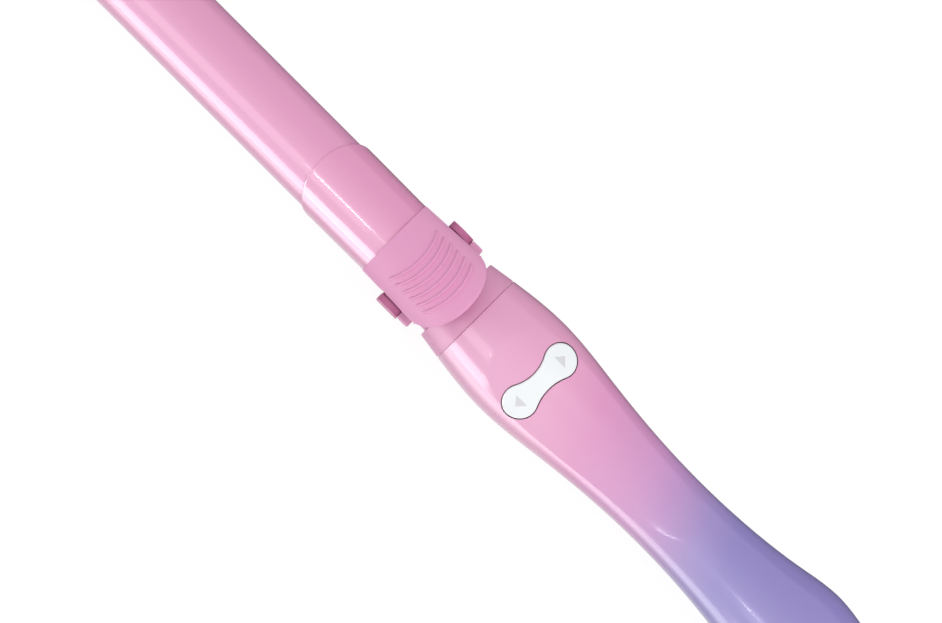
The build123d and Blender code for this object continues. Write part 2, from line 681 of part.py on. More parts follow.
def rocker_button():
    """The cap follows the crown; its rib turns on the pin, and two plungers reach the switches."""
    cap = dog_bone(0, -12, 4) & face_layer(ROCKER_PROUD, ROCKER_DEPTH)
    rib_low = -ROCKER_PIVOT_DEPTH - 1.7
    rib = block(-ROCKER_RIB, ROCKER_RIB, -ROCKER_RIB_HALF, ROCKER_RIB_HALF, rib_low, 0.4 - ROCKER_DEPTH)
    rib -= cyl("X", ROCKER_PIN_R + RUNNING, -ROCKER_RIB - 1, ROCKER_RIB + 1, 0, -ROCKER_PIVOT_DEPTH)
    plunger = cyl("Z", PLUNGER_R, PLUNGER_BOTTOM, PLUNGER_BOTTOM + PLUNGER_LENGTH, 0, ROCKER_LOBE_Y)
    return cap + on_face(rib + both_sides(plunger))


BOARD_LOW = -CRADLE_DEPTH
BOARD_HIGH = BOARD_LOW + BOARD_THICK
SWITCH_TOP = BOARD_HIGH + SWITCH_BODY + SWITCH_CAP
PLUNGER_BOTTOM = SWITCH_TOP + 0.75


def rocker_pin():
    reach = ROCKER_RIB + SIDE_GAP + CRADLE_POST
    return on_face(cyl("X", ROCKER_PIN_R, -reach, reach, 0, -ROCKER_PIVOT_DEPTH))


def rocker_cradle():
    """The bracket under the rocker: a floor, two posts for the pin and four feet up to the front shell."""
    low = BOARD_LOW - CRADLE_THICK
    floor = block(-CRADLE_HALF_X, CRADLE_HALF_X, -CRADLE_HALF_Y, CRADLE_HALF_Y, low, BOARD_LOW - SEATED)
    post_in = ROCKER_RIB + SIDE_GAP
    post = block(post_in, post_in + CRADLE_POST, -2, 2, low, -ROCKER_DEPTH - 0.9)
    foot = block(CRADLE_HALF_X - CRADLE_FOOT, CRADLE_HALF_X, CRADLE_HALF_Y - 2, CRADLE_HALF_Y, low, 0)
    cradle = floor + post + mirror(post, Plane.YZ)
    for turn in (foot, mirror(foot, Plane.YZ)):
        cradle += both_sides(turn)
    cradle -= cyl("X", ROCKER_PIN_R + SEATED, -CRADLE_HALF_X, CRADLE_HALF_X, 0, -ROCKER_PIVOT_DEPTH)
    return on_face(cradle) & handle_form(HANDLE_WALL + RUNNING, CAVITY_START, BOARD_START)


def switch_board():
    half_x, half_y = 1.5 * SWITCH_SIDE, CRADLE_HALF_Y - 0.2
    board = block(-half_x, half_x, -half_y, half_y, BOARD_LOW, BOARD_HIGH)
    post_in = ROCKER_RIB + SIDE_GAP
    slot = block(post_in - 0.1, post_in + CRADLE_POST + 0.1, -2.1, 2.1, BOARD_LOW - 1, BOARD_HIGH + 1)
    return on_face(board - slot - mirror(slot, Plane.YZ))


def tact_switch(side):
    half = SWITCH_SIDE / 2
    y = side * ROCKER_LOBE_Y
    body = block(-half, half, y - half, y + half, BOARD_HIGH, BOARD_HIGH + SWITCH_BODY)
    return on_face(body + cyl("Z", 1.1, BOARD_HIGH + SWITCH_BODY, SWITCH_TOP, 0, y))


# Handle shells
def screw_places():
    return [(x, side * y) for x, y in SCREW_STATIONS for side in (1, -1)]


def head_floor(x, y):
    """The height of a shell screw's head top, sunk under the handle's back."""
    return SCREW_SUNK - sqrt(handle_radius(x) ** 2 - y**2)


def handle_shell(front):
    """Half of the moulded handle. Both halves carry the front wall, the bearing seat and screw posts; the
    front half has the rocker's window, the power button's hole and two ribs, and the back half carries the
    control board."""
    reach = 2 * CROWN_R
    low, high = (0, reach) if front else (-reach, 0)
    half = block(SEAM_GAP, SHELL_END, -reach, reach, low, high)
    shell = handle_form(0, SEAM_GAP, SHELL_END) & half
    shell -= handle_form(HANDLE_WALL, CAVITY_START, SHELL_END)
    shell -= cyl("X", SPINDLE_R + SIDE_GAP, 0, CAVITY_START + 1)
    shell -= cyl("X", BEARING_R + SEATED, FRONT_WALL, CAVITY_START + 1)
    inside = handle_form(HANDLE_WALL - 0.4, CAVITY_START, SHELL_END) & half
    posts = [cyl("Z", SCREW_POST_R, -reach, reach, x, y) for x, y in screw_places()]
    for post in posts:
        shell += post & inside
    if front:
        for x in (POWER_BOARD_START + 1, POWER_BOARD_END - 1 - RIB_THICK):
            rib = inside & block(x, x + RIB_THICK, -reach, reach, POWER_BOARD_TOP, reach)
            flange_r = POWER_R + POWER_FLANGE + SIDE_GAP
            shell += rib - cyl("Z", flange_r, 0, power_flange_top() + RUNNING, POWER_X, 0)
        shell -= dog_bone(ROCKER_GAP, -12, 6)
        surface = handle_radius(POWER_X)
        shell -= cyl("Z", POWER_R + 0.15, POWER_BOARD_TOP, surface + 2, POWER_X, 0)
        shell -= cyl("Z", LIGHT_R + SEATED, POWER_BOARD_TOP, surface + 2, LIGHT_X, 0)
    else:
        for x in (BOARD_START + 4, BOARD_END - 4 - RIB_THICK):
            rib = inside & block(x, x + RIB_THICK, -reach, reach, -reach, BOARD_TOP - BOARD_THICK - SEATED)
            shell += rib
    for x, y in screw_places():
        head = head_floor(x, y)
        shell -= cyl("Z", SCREW_R + SEATED, head, SCREW_REACH + 1, x, y)
        shell -= cyl("Z", SCREW_HEAD_R + 0.15, -reach, head + SCREW_HEAD, x, y)
    return shell


def shell_screws():
    """Four screws from the back, heads sunk in counterbores."""
    screws = []
    for x, y in screw_places():
        head = head_floor(x, y)
        screw = cyl("Z", SCREW_HEAD_R, head, head + SCREW_HEAD - SEATED, x, y)
        screw += cyl("Z", SCREW_R, head, SCREW_REACH, x, y)
        screws.append(screw - Pos(x, y, head) * Box(3, 0.7, 1.4))
    return Compound(screws)


def front_bearing():
    return ring(BEARING_R, SPINDLE_R + RUNNING, FRONT_WALL + SEATED, CAVITY_START - SEATED)


def rear_bearing():
    return ring(REAR_BUSH_R, SPINDLE_REAR_R + RUNNING, CARRIER_START, CARRIER_START + CARRIER_THICK)


def motor_carrier():
    """The plate that holds the rear bush and the motor; its edge follows the shells' inside."""
    plate = handle_form(HANDLE_WALL + RUNNING, CARRIER_START, CARRIER_START + CARRIER_THICK)
    plate -= cyl("X", REAR_BUSH_R + SEATED, CARRIER_START - 1, GEARBOX_START + 1)
    plate -= cyl("X", MOTOR_SHAFT_R + 0.3, CARRIER_START - 1, GEARBOX_START + 1, 0, -GEAR_CENTRES)
    for side in (1, -1):
        y = side * MOTOR_SCREW_Y
        plate -= cyl("X", MOTOR_SCREW_R + SEATED, CARRIER_START - 1, GEARBOX_START + 1, y, -GEAR_CENTRES)
    return plate


def gearmotor():
    """A flat-sided geared motor: a square gearbox, then the can with two flats and its rear boss."""
    z, half_h, half_w = -GEAR_CENTRES, GEARBOX_HEIGHT / 2, GEARBOX_WIDTH / 2
    box_end = GEARBOX_START + GEARBOX_LENGTH
    can_end = box_end + MOTOR_LENGTH
    motor = block(GEARBOX_START, box_end, -half_w, half_w, z - half_h, z + half_h)
    flats = block(box_end, can_end, -half_w, half_w, z - half_h, z + half_h)
    motor += cyl("X", half_w, box_end, can_end, 0, z) & flats
    motor += cyl("X", 2, can_end, can_end + 1, 0, z)
    motor += both_sides(block(can_end, can_end + 2.5, 3.4, 4.0, z - 1, z + 1))
    motor -= cyl("X", MOTOR_SHAFT_R + RUNNING, GEARBOX_START - 1, GEARBOX_START + 5 + RUNNING, 0, z)
    for side in (1, -1):
        y = side * MOTOR_SCREW_Y
        motor -= cyl("X", MOTOR_SCREW_R + SEATED, GEARBOX_START - 1, GEARBOX_START + 3, y, z)
    return motor


def motor_screws():
    z = -GEAR_CENTRES
    screw = cyl("X", MOTOR_SCREW_R, CARRIER_START, GEARBOX_START + 2.5, MOTOR_SCREW_Y, z)
    screw += cyl("X", MOTOR_SCREW_HEAD_R, CARRIER_START - 0.9, CARRIER_START, MOTOR_SCREW_Y, z)
    return both_sides(screw)


def brush_places():
    return [start + SLIP_RING_WIDTH / 2 for start in SLIP_RING_STARTS]


def brush_holder():
    """The bracket over the slip rings, fixed to the carrier, with a pocket for each brush."""
    end = SLIP_RING_STARTS[-1] + SLIP_RING_WIDTH + 1
    holder = block(GEARBOX_START + SEATED, end, -4.5, 4.5, BRUSH_BLOCK_BOTTOM, BRUSH_BLOCK_TOP)
    half = BRUSH_SIDE / 2 + SEATED
    pocket_top = SLIP_RING_R + RUNNING + BRUSH_LENGTH + SEATED
    for x in brush_places():
        holder -= block(x - half, x + half, -half, half, BRUSH_BLOCK_BOTTOM - 1, pocket_top)
    return holder


def brushes():
    low = SLIP_RING_R + RUNNING
    half = BRUSH_SIDE / 2
    return Compound([block(x - half, x + half, -half, half, low, low + BRUSH_LENGTH) for x in brush_places()])


# Electronics, power button and tail
def control_board():
    board = block(BOARD_START, BOARD_END, -BOARD_HALF_Y, BOARD_HALF_Y, BOARD_TOP - BOARD_THICK, BOARD_TOP)
    for x in (BOARD_START + 36, BOARD_START + 50):
        board += block(x, x + 8, -6, 2, BOARD_TOP, BOARD_TOP + 3)
    return board


def film_capacitor():
    return block(BOARD_START + 9, BOARD_START + 15, -7, 7, BOARD_TOP, BOARD_TOP + 11)


def relay():
    return block(BOARD_START + 18, BOARD_START + 33, -5, 5, BOARD_TOP, BOARD_TOP + 10)


POWER_BOARD_END = SHELL_END - TAIL_SPIGOT - 0.5


def power_surface():
    return handle_radius(POWER_X)


def power_flange_top():
    reach = POWER_R + POWER_FLANGE
    inner = min(handle_radius(POWER_X - reach), handle_radius(POWER_X + reach)) - HANDLE_WALL
    return sqrt(inner**2 - reach**2) - 0.15


def power_button():
    """A round cap with a dished top and a flange that keeps it in the shell."""
    top = power_surface() + POWER_PROUD
    flange = power_flange_top()
    button = cyl("Z", POWER_R, flange - 1, top, POWER_X, 0)
    button = fillet(button.edges().filter_by(GeomType.CIRCLE).sort_by(Axis.Z)[-1], 0.5)
    button += cyl("Z", POWER_R + POWER_FLANGE, flange - 1, flange, POWER_X, 0)
    dish = 40.0
    return button - Pos(POWER_X, 0, top + dish - 0.4) * Sphere(dish)


def power_switch():
    top = power_flange_top() - 1 - POWER_TRAVEL - 0.1
    low = POWER_BOARD_TOP
    return block(POWER_X - 3, POWER_X + 3, -3, 3, low, top - 1) + cyl("Z", 1.6, top - 1, top, POWER_X, 0)


def power_board():
    return block(
        POWER_BOARD_START, POWER_BOARD_END, -POWER_BOARD_HALF_Y, POWER_BOARD_HALF_Y,
        POWER_BOARD_TOP - BOARD_THICK - SEATED, POWER_BOARD_TOP - SEATED,
    )


def light_pipe():
    top = handle_radius(LIGHT_X) + 0.2
    pipe = cyl("Z", LIGHT_R, POWER_BOARD_TOP, top, LIGHT_X, 0)
    return fillet(pipe.edges().filter_by(GeomType.CIRCLE).sort_by(Axis.Z)[-1], 0.4)


def tail_cap():
    """The rounded end of the handle: a hollow cap with a spigot and a tube for the cord's swivel."""
    start_r = HANDLE_STATIONS[-1][1]
    spigot_r = start_r - HANDLE_WALL - RUNNING
    bore_r = SWIVEL_R + RUNNING
    front = SHELL_END - TAIL_SPIGOT
    outline = make_face(Polyline(
        (front, bore_r), (front, spigot_r), (SHELL_END, spigot_r), (SHELL_END, start_r),
        (TAIL_END, start_r - TAIL_TAPER), (TAIL_END, bore_r), close=True,
    ))
    corner = outline.vertices().sort_by_distance((TAIL_END, start_r - TAIL_TAPER, 0))[0]
    cap = revolve(Plane.XZ * fillet(corner, TAIL_ROUND), Axis.X, 360)
    tube_r = bore_r + TAIL_WALL
    hollow_end = SHELL_END + TAIL_HOLLOW
    hollow_r = spigot_r - TAIL_WALL
    return cap - turned([
        (front - 1, tube_r), (front - 1, hollow_r), (SHELL_END + 2, hollow_r),
        (hollow_end, hollow_r - TAIL_ROUND / 2), (hollow_end, tube_r),
    ])


def cord_swivel():
    """The bush that lets the cord turn in the tail, open along its axis for the cord."""
    seat = SHELL_END - TAIL_SPIGOT - SEATED
    return turned([
        (seat - SWIVEL_FLANGE, CORD_BORE_R), (seat - SWIVEL_FLANGE, SWIVEL_FLANGE_R), (seat, SWIVEL_FLANGE_R),
        (seat, SWIVEL_R), (TAIL_END - 0.6, SWIVEL_R), (TAIL_END, SWIVEL_R - 0.6), (TAIL_END, CORD_BORE_R),
    ])


def build():
    """Every node's shape, about the tool's axis."""
    return {
        "cool_tip": cool_tip(),
        "barrel_tube": barrel_tube(),
        "heat_spreader_upper": heat_spreader(1),
        "heat_spreader_lower": heat_spreader(-1),
        "ptc_heater": ptc_heater(),
        "thermal_fuse": thermal_fuse(),
        "heater_leads": heater_leads(),
        "base_sleeve": base_sleeve(),
        "hinge_pin": hinge_pin(),
        "clamp_spring": clamp_spring(),
        "front_collar": front_collar(),
        "rest_stand": rest_stand(),
        "clamp_plate": clamp_plate(),
        "clamp_tongue": clamp_tongue(),
        "thumb_lever": thumb_lever(),
        "spindle": spindle(),
        "spindle_screws": spindle_screws(),
        "ring_gear": ring_gear(),
        "drive_pinion": drive_pinion(),
        "motor_shaft": motor_shaft(),
        "slip_ring_front": slip_ring(SLIP_RING_STARTS[0]),
        "slip_ring_rear": slip_ring(SLIP_RING_STARTS[1]),
        "front_bearing": front_bearing(),
        "rear_bearing": rear_bearing(),
        "motor_carrier": motor_carrier(),
        "gearmotor": gearmotor(),
        "motor_screws": motor_screws(),
        "brush_holder": brush_holder(),
        "brushes": brushes(),
        "rocker_button": rocker_button(),
        "rocker_pin": rocker_pin(),
        "rocker_cradle": rocker_cradle(),
        "switch_board": switch_board(),
        "tact_switch_left": tact_switch(-1),
        "tact_switch_right": tact_switch(1),
        "handle_front_shell": handle_shell(True),
        "handle_back_shell": handle_shell(False),
        "shell_screws": shell_screws(),
        "control_board": control_board(),
        "film_capacitor": film_capacitor(),
        "relay": relay(),
        "power_button": power_button(),
        "power_switch": power_switch(),
        "power_board": power_board(),
        "light_pipe": light_pipe(),
        "tail_cap": tail_cap(),
        "cord_swivel": cord_swivel(),
    }


# The origin is under the middle of the length, on the surface that the stand's foot and the tail rest on.
ORIGIN_X = (TIP_END + TAIL_END) / 2

os.makedirs("parts", exist_ok=True)
for name, shape in build().items():
    export_step(Pos(-ORIGIN_X, 0, FOOT_DEPTH) * shape, f"parts/{name}.step")
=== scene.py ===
# %% [markdown]
# # Dressing a rotating curling iron
#
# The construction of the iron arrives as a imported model: every piece already has its real size and place.
# This notebook gives it the looks. It builds fine surfaces over the plain solids, and finishes that tell
# enamelled metal from satin and glossy plastic. Lengths are typed in millimetres, because that is how
# such a product is drawn, and turned into Blender's metres in one place.

import json
import math

import bmesh
import bpy
import numpy as np
from mathutils import Matrix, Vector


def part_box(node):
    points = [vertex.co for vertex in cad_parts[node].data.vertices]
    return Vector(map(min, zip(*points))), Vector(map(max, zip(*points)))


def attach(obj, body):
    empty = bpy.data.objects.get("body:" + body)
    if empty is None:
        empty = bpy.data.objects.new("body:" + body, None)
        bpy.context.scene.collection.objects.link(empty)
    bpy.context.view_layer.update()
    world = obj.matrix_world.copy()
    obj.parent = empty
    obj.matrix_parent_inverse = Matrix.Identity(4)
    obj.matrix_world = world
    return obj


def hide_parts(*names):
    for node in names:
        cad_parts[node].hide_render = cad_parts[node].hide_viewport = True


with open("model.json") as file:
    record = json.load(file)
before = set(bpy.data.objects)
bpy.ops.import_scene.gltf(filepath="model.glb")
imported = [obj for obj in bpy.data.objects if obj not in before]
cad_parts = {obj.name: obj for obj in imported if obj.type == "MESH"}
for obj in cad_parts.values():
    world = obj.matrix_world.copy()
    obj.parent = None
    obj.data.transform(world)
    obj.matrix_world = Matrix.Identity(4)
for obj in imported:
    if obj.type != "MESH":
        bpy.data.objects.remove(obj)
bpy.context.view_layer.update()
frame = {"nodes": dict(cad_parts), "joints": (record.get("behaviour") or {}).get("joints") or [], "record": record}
MM = 0.001

# %% [markdown]
# The iron is easiest to draw about its own axis. So all shapes below use "tool millimetres": x runs along
# the axis from the seam between the turning collar and the handle, with the tail at +x; y goes across;
# z rises out of the front, where the clamp's thumb lever and the rocker are. The seam and the axis come
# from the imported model, so nothing has to be fitted by hand.

# %% Tool millimetres to frame metres
joint_of = {joint["name"]: joint for joint in frame["joints"]}
AXIS_Z = joint_of["barrel_spin"]["pos_m"][2]
SEAM_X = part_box("front_collar")[1][0]
ORIGIN = np.array([SEAM_X, 0.0, AXIS_Z])


def to_frame(points):
    """Points in tool millimetres, shape (..., 3), as metres in the frame."""
    return np.asarray(points, float) * MM + ORIGIN


def extent(node_name):
    """A node's lowest and highest corner in tool millimetres."""
    low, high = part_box(node_name)
    return (np.array(low) - ORIGIN) / MM, (np.array(high) - ORIGIN) / MM


print("axis height", round(AXIS_Z / MM, 2), "mm, seam at", round(SEAM_X / MM, 2), "mm")

# %% [markdown]
# ## The camera
#
# The photograph looks straight down on the front of the iron, with the tool running from the upper left
# to the lower right. The barrel keeps its width from end to end, so the lens is long and far away. The
# tool is rolled a little: what stands high on the front, such as the lever, shifts to one side.

# %% Camera
PHOTO = (942, 623)
PIXELS_PER_MM = 2.665
PHOTO_CENTRE = (-3.1, 0.9)
ROLL_DEG = 2.5
SENSOR_MM = 36.0
LENS_MM = 220.0

camera_data = bpy.data.cameras.new("camera")
camera = bpy.data.objects.new("camera", camera_data)
bpy.context.scene.collection.objects.link(camera)
bpy.context.scene.camera = camera
camera_data.lens = LENS_MM
camera_data.sensor_width = SENSOR_MM
camera_data.clip_start = 0.01
camera_data.clip_end = 20.0

roll = math.radians(ROLL_DEG)
right = np.array([1.0, 1.0, 0.0]) / math.sqrt(2)
towards_camera = np.array([0.0, -math.sin(roll), math.cos(roll)])
right -= towards_camera * (right @ towards_camera)
right /= np.linalg.norm(right)
view_width = PHOTO[0] / PIXELS_PER_MM * MM
distance = view_width / 2 / (SENSOR_MM / 2 / LENS_MM)
target = to_frame([PHOTO_CENTRE[0], PHOTO_CENTRE[1], 0.0])
matrix = np.eye(4)
matrix[:3, 0] = right
matrix[:3, 1] = np.cross(towards_camera, right)
matrix[:3, 2] = towards_camera
matrix[:3, 3] = target + towards_camera * distance
camera.matrix_world = Matrix(matrix.tolist())
print("camera", round(distance, 3), "m away, sees", round(view_width / MM), "mm across")

# %% [markdown]
# ## Colours and nodes
#
# Colours are typed as the hex values of a screen picker. Blender computes with light, so one function
# turns them linear. Node trees are long to write by hand; one small helper adds a node, sets it and
# connects it, and every material below is made with it.

# %% Colour and node helpers
scene = bpy.context.scene
scene.view_settings.view_transform = "Standard"


def linear(code, alpha=1.0):
    """An sRGB hex colour as linear RGBA. A channel c becomes ((c + 0.055) / 1.055) to the power 2.4, or
    c / 12.92 where it is very dark."""
    channels = np.array([int(code[i:i + 2], 16) for i in (1, 3, 5)]) / 255
    light = np.where(channels <= 0.04045, channels / 12.92, ((channels + 0.055) / 1.055) ** 2.4)
    return (*light.tolist(), alpha)


def add(tree, kind, inputs=None, **settings):
    """A new shader node. inputs maps a socket's name or number to a value, or to another node's output to
    link."""
    new = tree.nodes.new("ShaderNode" + kind)
    for name, value in settings.items():
        setattr(new, name, value)
    for key, value in (inputs or {}).items():
        if isinstance(value, bpy.types.NodeSocket):
            tree.links.new(value, new.inputs[key])
        else:
            new.inputs[key].default_value = value
    return new


# %% [markdown]
# ## Background and light
#
# The product lies on white paper, as in a shop's catalogue. Only the camera sees the backdrop at full white;
# the light that falls on the pink comes from a dimmer sky and from a lamp, so a colour renders about as it is
# typed. Gloss sees a third version: a studio that is bright at the viewer's lower left and dim at the upper
# right, and paper that glows for the gloss alone, a painted reflection of lit paper: brightest well away from
# the iron on that lower left side, plain beside the iron, dimmed there as painted shade, and almost black on
# the other side as painted shade too. So the edges at the upper right are deeper in colour, as in the
# photograph. What is seen of the paper keeps a hint of the iron's shadow.

# %% World and floor
WHITE = linear("#FFFFFF")
SKY_STRENGTH = 0.8
GLOSS_BRIGHT, GLOSS_DIM = 2.4, 0.6
PAPER_BRIGHT, PAPER_BRIGHT_BEFORE, PAPER_BRIGHT_UNTIL = 4.1, -0.13, -0.05
PAPER_NEAR, PAPER_NEAR_BEFORE, PAPER_NEAR_UNTIL = 0.9, -0.02, 0.03
PAPER_DIM = 0.08
PAPER_SHOWN = 0.9
SHADOW_SHOWN = 0.16
PAPER_REACH = 3.0
PAPER_LEVEL = -0.0001


def shown_by_ray(tree, lighting, in_gloss, seen):
    """One of three shaders: for the light on a surface, for what a gloss mirrors, and for what is seen."""
    rays = add(tree, "LightPath")
    direct = add(tree, "Math", {
        0: rays.outputs["Is Camera Ray"], 1: rays.outputs["Is Transmission Ray"],
    }, operation="MAXIMUM")
    mix = add(tree, "MixShader", {
        0: rays.outputs["Is Glossy Ray"], 1: lighting.outputs[0], 2: in_gloss.outputs[0],
    })
    return add(tree, "MixShader", {0: direct.outputs[0], 1: mix.outputs[0], 2: seen.outputs[0]})


def side_strength(tree, coordinate, first, last, bright, dim):
    """A strength that falls smoothly from bright to dim between two values of y, first and last."""
    split = add(tree, "SeparateXYZ", {0: coordinate})
    return add(tree, "MapRange", {
        "Value": split.outputs["Y"], "From Min": first, "From Max": last, "To Min": bright, "To Max": dim,
    }, interpolation_type="SMOOTHSTEP")


world = bpy.data.worlds.new("studio")
scene.world = world
world.use_nodes = True
tree = world.node_tree
tree.nodes.clear()
direction = add(tree, "TexCoord").outputs["Generated"]
across = side_strength(tree, direction, -1.0, 1.0, GLOSS_BRIGHT, GLOSS_DIM)
sky = add(tree, "Background", {"Color": WHITE, "Strength": SKY_STRENGTH})
mirrored = add(tree, "Background", {"Color": WHITE, "Strength": across.outputs[0]})
backdrop = add(tree, "Background", {"Color": WHITE, "Strength": 1.0})
add(tree, "OutputWorld", {"Surface": shown_by_ray(tree, sky, mirrored, backdrop).outputs[0]})

floor_paint = bpy.data.materials.new("matt_white_backdrop_paper")
floor_paint.use_nodes = True
tree = floor_paint.node_tree
tree.nodes.clear()
place = add(tree, "TexCoord").outputs["Object"]
# Painted light for the gloss: the paper glows far out on the lower left, with painted shade beside the iron.
away = side_strength(tree, place, PAPER_BRIGHT_BEFORE, PAPER_BRIGHT_UNTIL, PAPER_BRIGHT, 0.0)
beside = side_strength(tree, place, PAPER_NEAR_BEFORE, PAPER_NEAR_UNTIL, PAPER_NEAR, PAPER_DIM)
across = add(tree, "Math", {0: away.outputs[0], 1: beside.outputs[0]}, operation="ADD")
paper = add(tree, "BsdfDiffuse", {"Color": linear("#E6E6E6")})
mirrored = add(tree, "Emission", {"Color": WHITE, "Strength": across.outputs[0]})
shadow_catcher = add(tree, "BsdfDiffuse", {"Color": (SHADOW_SHOWN, SHADOW_SHOWN, SHADOW_SHOWN, 1.0)})
glow = add(tree, "Emission", {"Color": WHITE, "Strength": PAPER_SHOWN})
seen = add(tree, "AddShader", {0: shadow_catcher.outputs[0], 1: glow.outputs[0]})
add(tree, "OutputMaterial", {"Surface": shown_by_ray(tree, paper, mirrored, seen).outputs[0]})

floor_mesh = bpy.data.meshes.new("floor")
signs = ((-1, -1), (1, -1), (1, 1), (-1, 1))
corners = [(x * PAPER_REACH, y * PAPER_REACH, PAPER_LEVEL) for x, y in signs]
floor_mesh.from_pydata(corners, [], [(0, 1, 2, 3)])
floor_mesh.materials.append(floor_paint)
floor = bpy.data.objects.new("floor", floor_mesh)
scene.collection.objects.link(floor)

# %% [markdown]
# The photograph has even, soft light and a few clear reflections. A low box at the side that faces the lower
# left gives the broad white band along barrel, clamp and handle; a small strip higher up gives the thin line
# on the clamp's root, and a weak, wide box the faint stripe on the spoon. These three are there for the gloss
# alone, like the cards that a photographer holds up. Each is placed by the angle, and by the stretch of the
# tool, at which its reflection is seen. A large box overhead does the lighting.

# %% Lamps


def soft_box(name, angle, away, size, power, in_gloss, along):
    """A rectangular lamp that looks at the iron. angle is its direction in degrees from straight up towards
    the viewer's lower left, away its distance and size its length along the tool and its width, in metres.
    along is its place along the tool in millimetres. It shows either in the gloss or as light on the
    surfaces."""
    data = bpy.data.lights.new(name, "AREA")
    data.shape = "RECTANGLE"
    data.size, data.size_y = size
    data.energy = power
    turn = math.radians(angle)
    backwards = np.array([0.0, -math.sin(turn), math.cos(turn)])
    axes = np.eye(4)
    axes[:3, 0] = (1.0, 0.0, 0.0)
    axes[:3, 1] = np.cross(backwards, (1.0, 0.0, 0.0))
    axes[:3, 2] = backwards
    axes[:3, 3] = to_frame([along, 0.0, 0.0]) + backwards * away
    lamp = bpy.data.objects.new(name, data)
    scene.collection.objects.link(lamp)
    lamp.matrix_world = Matrix(axes.tolist())
    lamp.visible_camera = False
    lamp.visible_glossy = in_gloss
    lamp.visible_diffuse = not in_gloss


soft_box("low_side_box", angle=86.0, away=0.75, size=(1.03, 0.43), power=7.2, in_gloss=True, along=-525.0)
soft_box("thin_strip", angle=28.5, away=1.0, size=(0.058, 0.036), power=0.15, in_gloss=True, along=-89.0)
soft_box("faint_box", angle=33.0, away=1.0, size=(0.8, 0.42), power=1.5, in_gloss=True, along=-463.0)
soft_box("overhead_box", angle=-14.0, away=1.1, size=(0.5, 0.5), power=3.2, in_gloss=False, along=550.0)

# %% [markdown]
# ## Surfaces from arrays
#
# Every outer piece is a surface over two parameters. numpy works out all its points at once as an array of
# rows and columns, and the faces are the quads between neighbours. Poles and seams are closed by merging
# equal points. A closed piece then gets its normals pointing outwards; an open one is turned so that it
# faces away from the tool's axis, and a Solidify modifier makes most of those thick.

# %% Mesh helpers
MERGE = 2e-6


def quads(rows, columns, rows_close=False, columns_close=False):
    """Corner numbers of the quads between neighbouring points of a grid of rows and columns."""
    i, j = np.meshgrid(
        np.arange(rows if rows_close else rows - 1),
        np.arange(columns if columns_close else columns - 1),
        indexing="ij",
    )
    low, high = i % rows * columns, (i + 1) % rows * columns
    left, after = j % columns, (j + 1) % columns
    return np.stack([low + left, high + left, high + after, low + after], axis=-1).reshape(-1, 4)


def raw_mesh(name, points, faces, merge, closed=True):
    """A mesh in the frame from points in tool millimetres, with points nearer than merge (in metres) joined
    and, if it is closed, its normals outwards."""
    mesh = bpy.data.meshes.new(name)
    mesh.from_pydata(to_frame(points).reshape(-1, 3).tolist(), [], np.asarray(faces).tolist())
    work = bmesh.new()
    work.from_mesh(mesh)
    bmesh.ops.remove_doubles(work, verts=work.verts, dist=merge)
    bmesh.ops.dissolve_degenerate(work, edges=work.edges, dist=1e-7)
    if closed:
        bmesh.ops.recalc_face_normals(work, faces=work.faces)
    work.to_mesh(mesh)
    work.free()
    return mesh


def show(name, mesh):
    """An object of a mesh, linked to the scene."""
    made = bpy.data.objects.new(name, mesh)
    scene.collection.objects.link(made)
    return made


def smooth(mesh):
    """Smooth shading on every face."""
    mesh.polygons.foreach_set("use_smooth", np.ones(len(mesh.polygons), bool))


def piece(name, points, faces, material, body, stands_for=(), closed=True, sharp=35.0):
    """A mesh piece in the frame: points in tool millimetres, its material, the body that it rides on, and
    the nodes that it stands for. Edges over sharp degrees stay hard."""
    mesh = raw_mesh(name, points, faces, MERGE, closed)
    if not closed:
        normals = np.array([polygon.normal for polygon in mesh.polygons])
        centres = np.array([polygon.center for polygon in mesh.polygons]) - ORIGIN
        if np.sum(normals[:, 1:] * centres[:, 1:]) < 0:
            mesh.flip_normals()
    smooth(mesh)
    mesh.set_sharp_from_angle(angle=math.radians(sharp))
    mesh.materials.append(material)
    made = show(name, mesh)
    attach(made, body)
    if stands_for:
        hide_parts(*stands_for)
    print(name, len(mesh.polygons), "faces")
    return made


def modify(target_piece, kind, **settings):
    """Add a modifier with its settings."""
    modifier = target_piece.modifiers.new(kind.lower(), kind)
    for name, value in settings.items():
        setattr(modifier, name, value)


def sheet(name, points, material, body, node_name, wall, bevel=0.0, segments=2, sharp=35.0):
    """A piece from a grid of points, made thick inwards and, with a bevel's width, with broken edges. Wall
    and bevel are in millimetres."""
    faces = quads(*points.shape[:2])
    made = piece(name, points, faces, material, body, [node_name], closed=False, sharp=sharp)
    modify(made, "SOLIDIFY", thickness=wall * MM, offset=-1.0)
    if bevel:
        modify(
            made, "BEVEL", width=bevel * MM, segments=segments,
            limit_method="ANGLE", angle_limit=math.radians(50),
        )
    return made


# %% [markdown]
# Most of the iron is turned or moulded round an axis. A drawing gives such a piece as corners with a
# fillet radius at each; the outline between them is straight lines and tangent arcs. Turning that
# outline about the axis gives the surface, and the small fillets are what makes an edge catch light.

# %% Lathe helpers


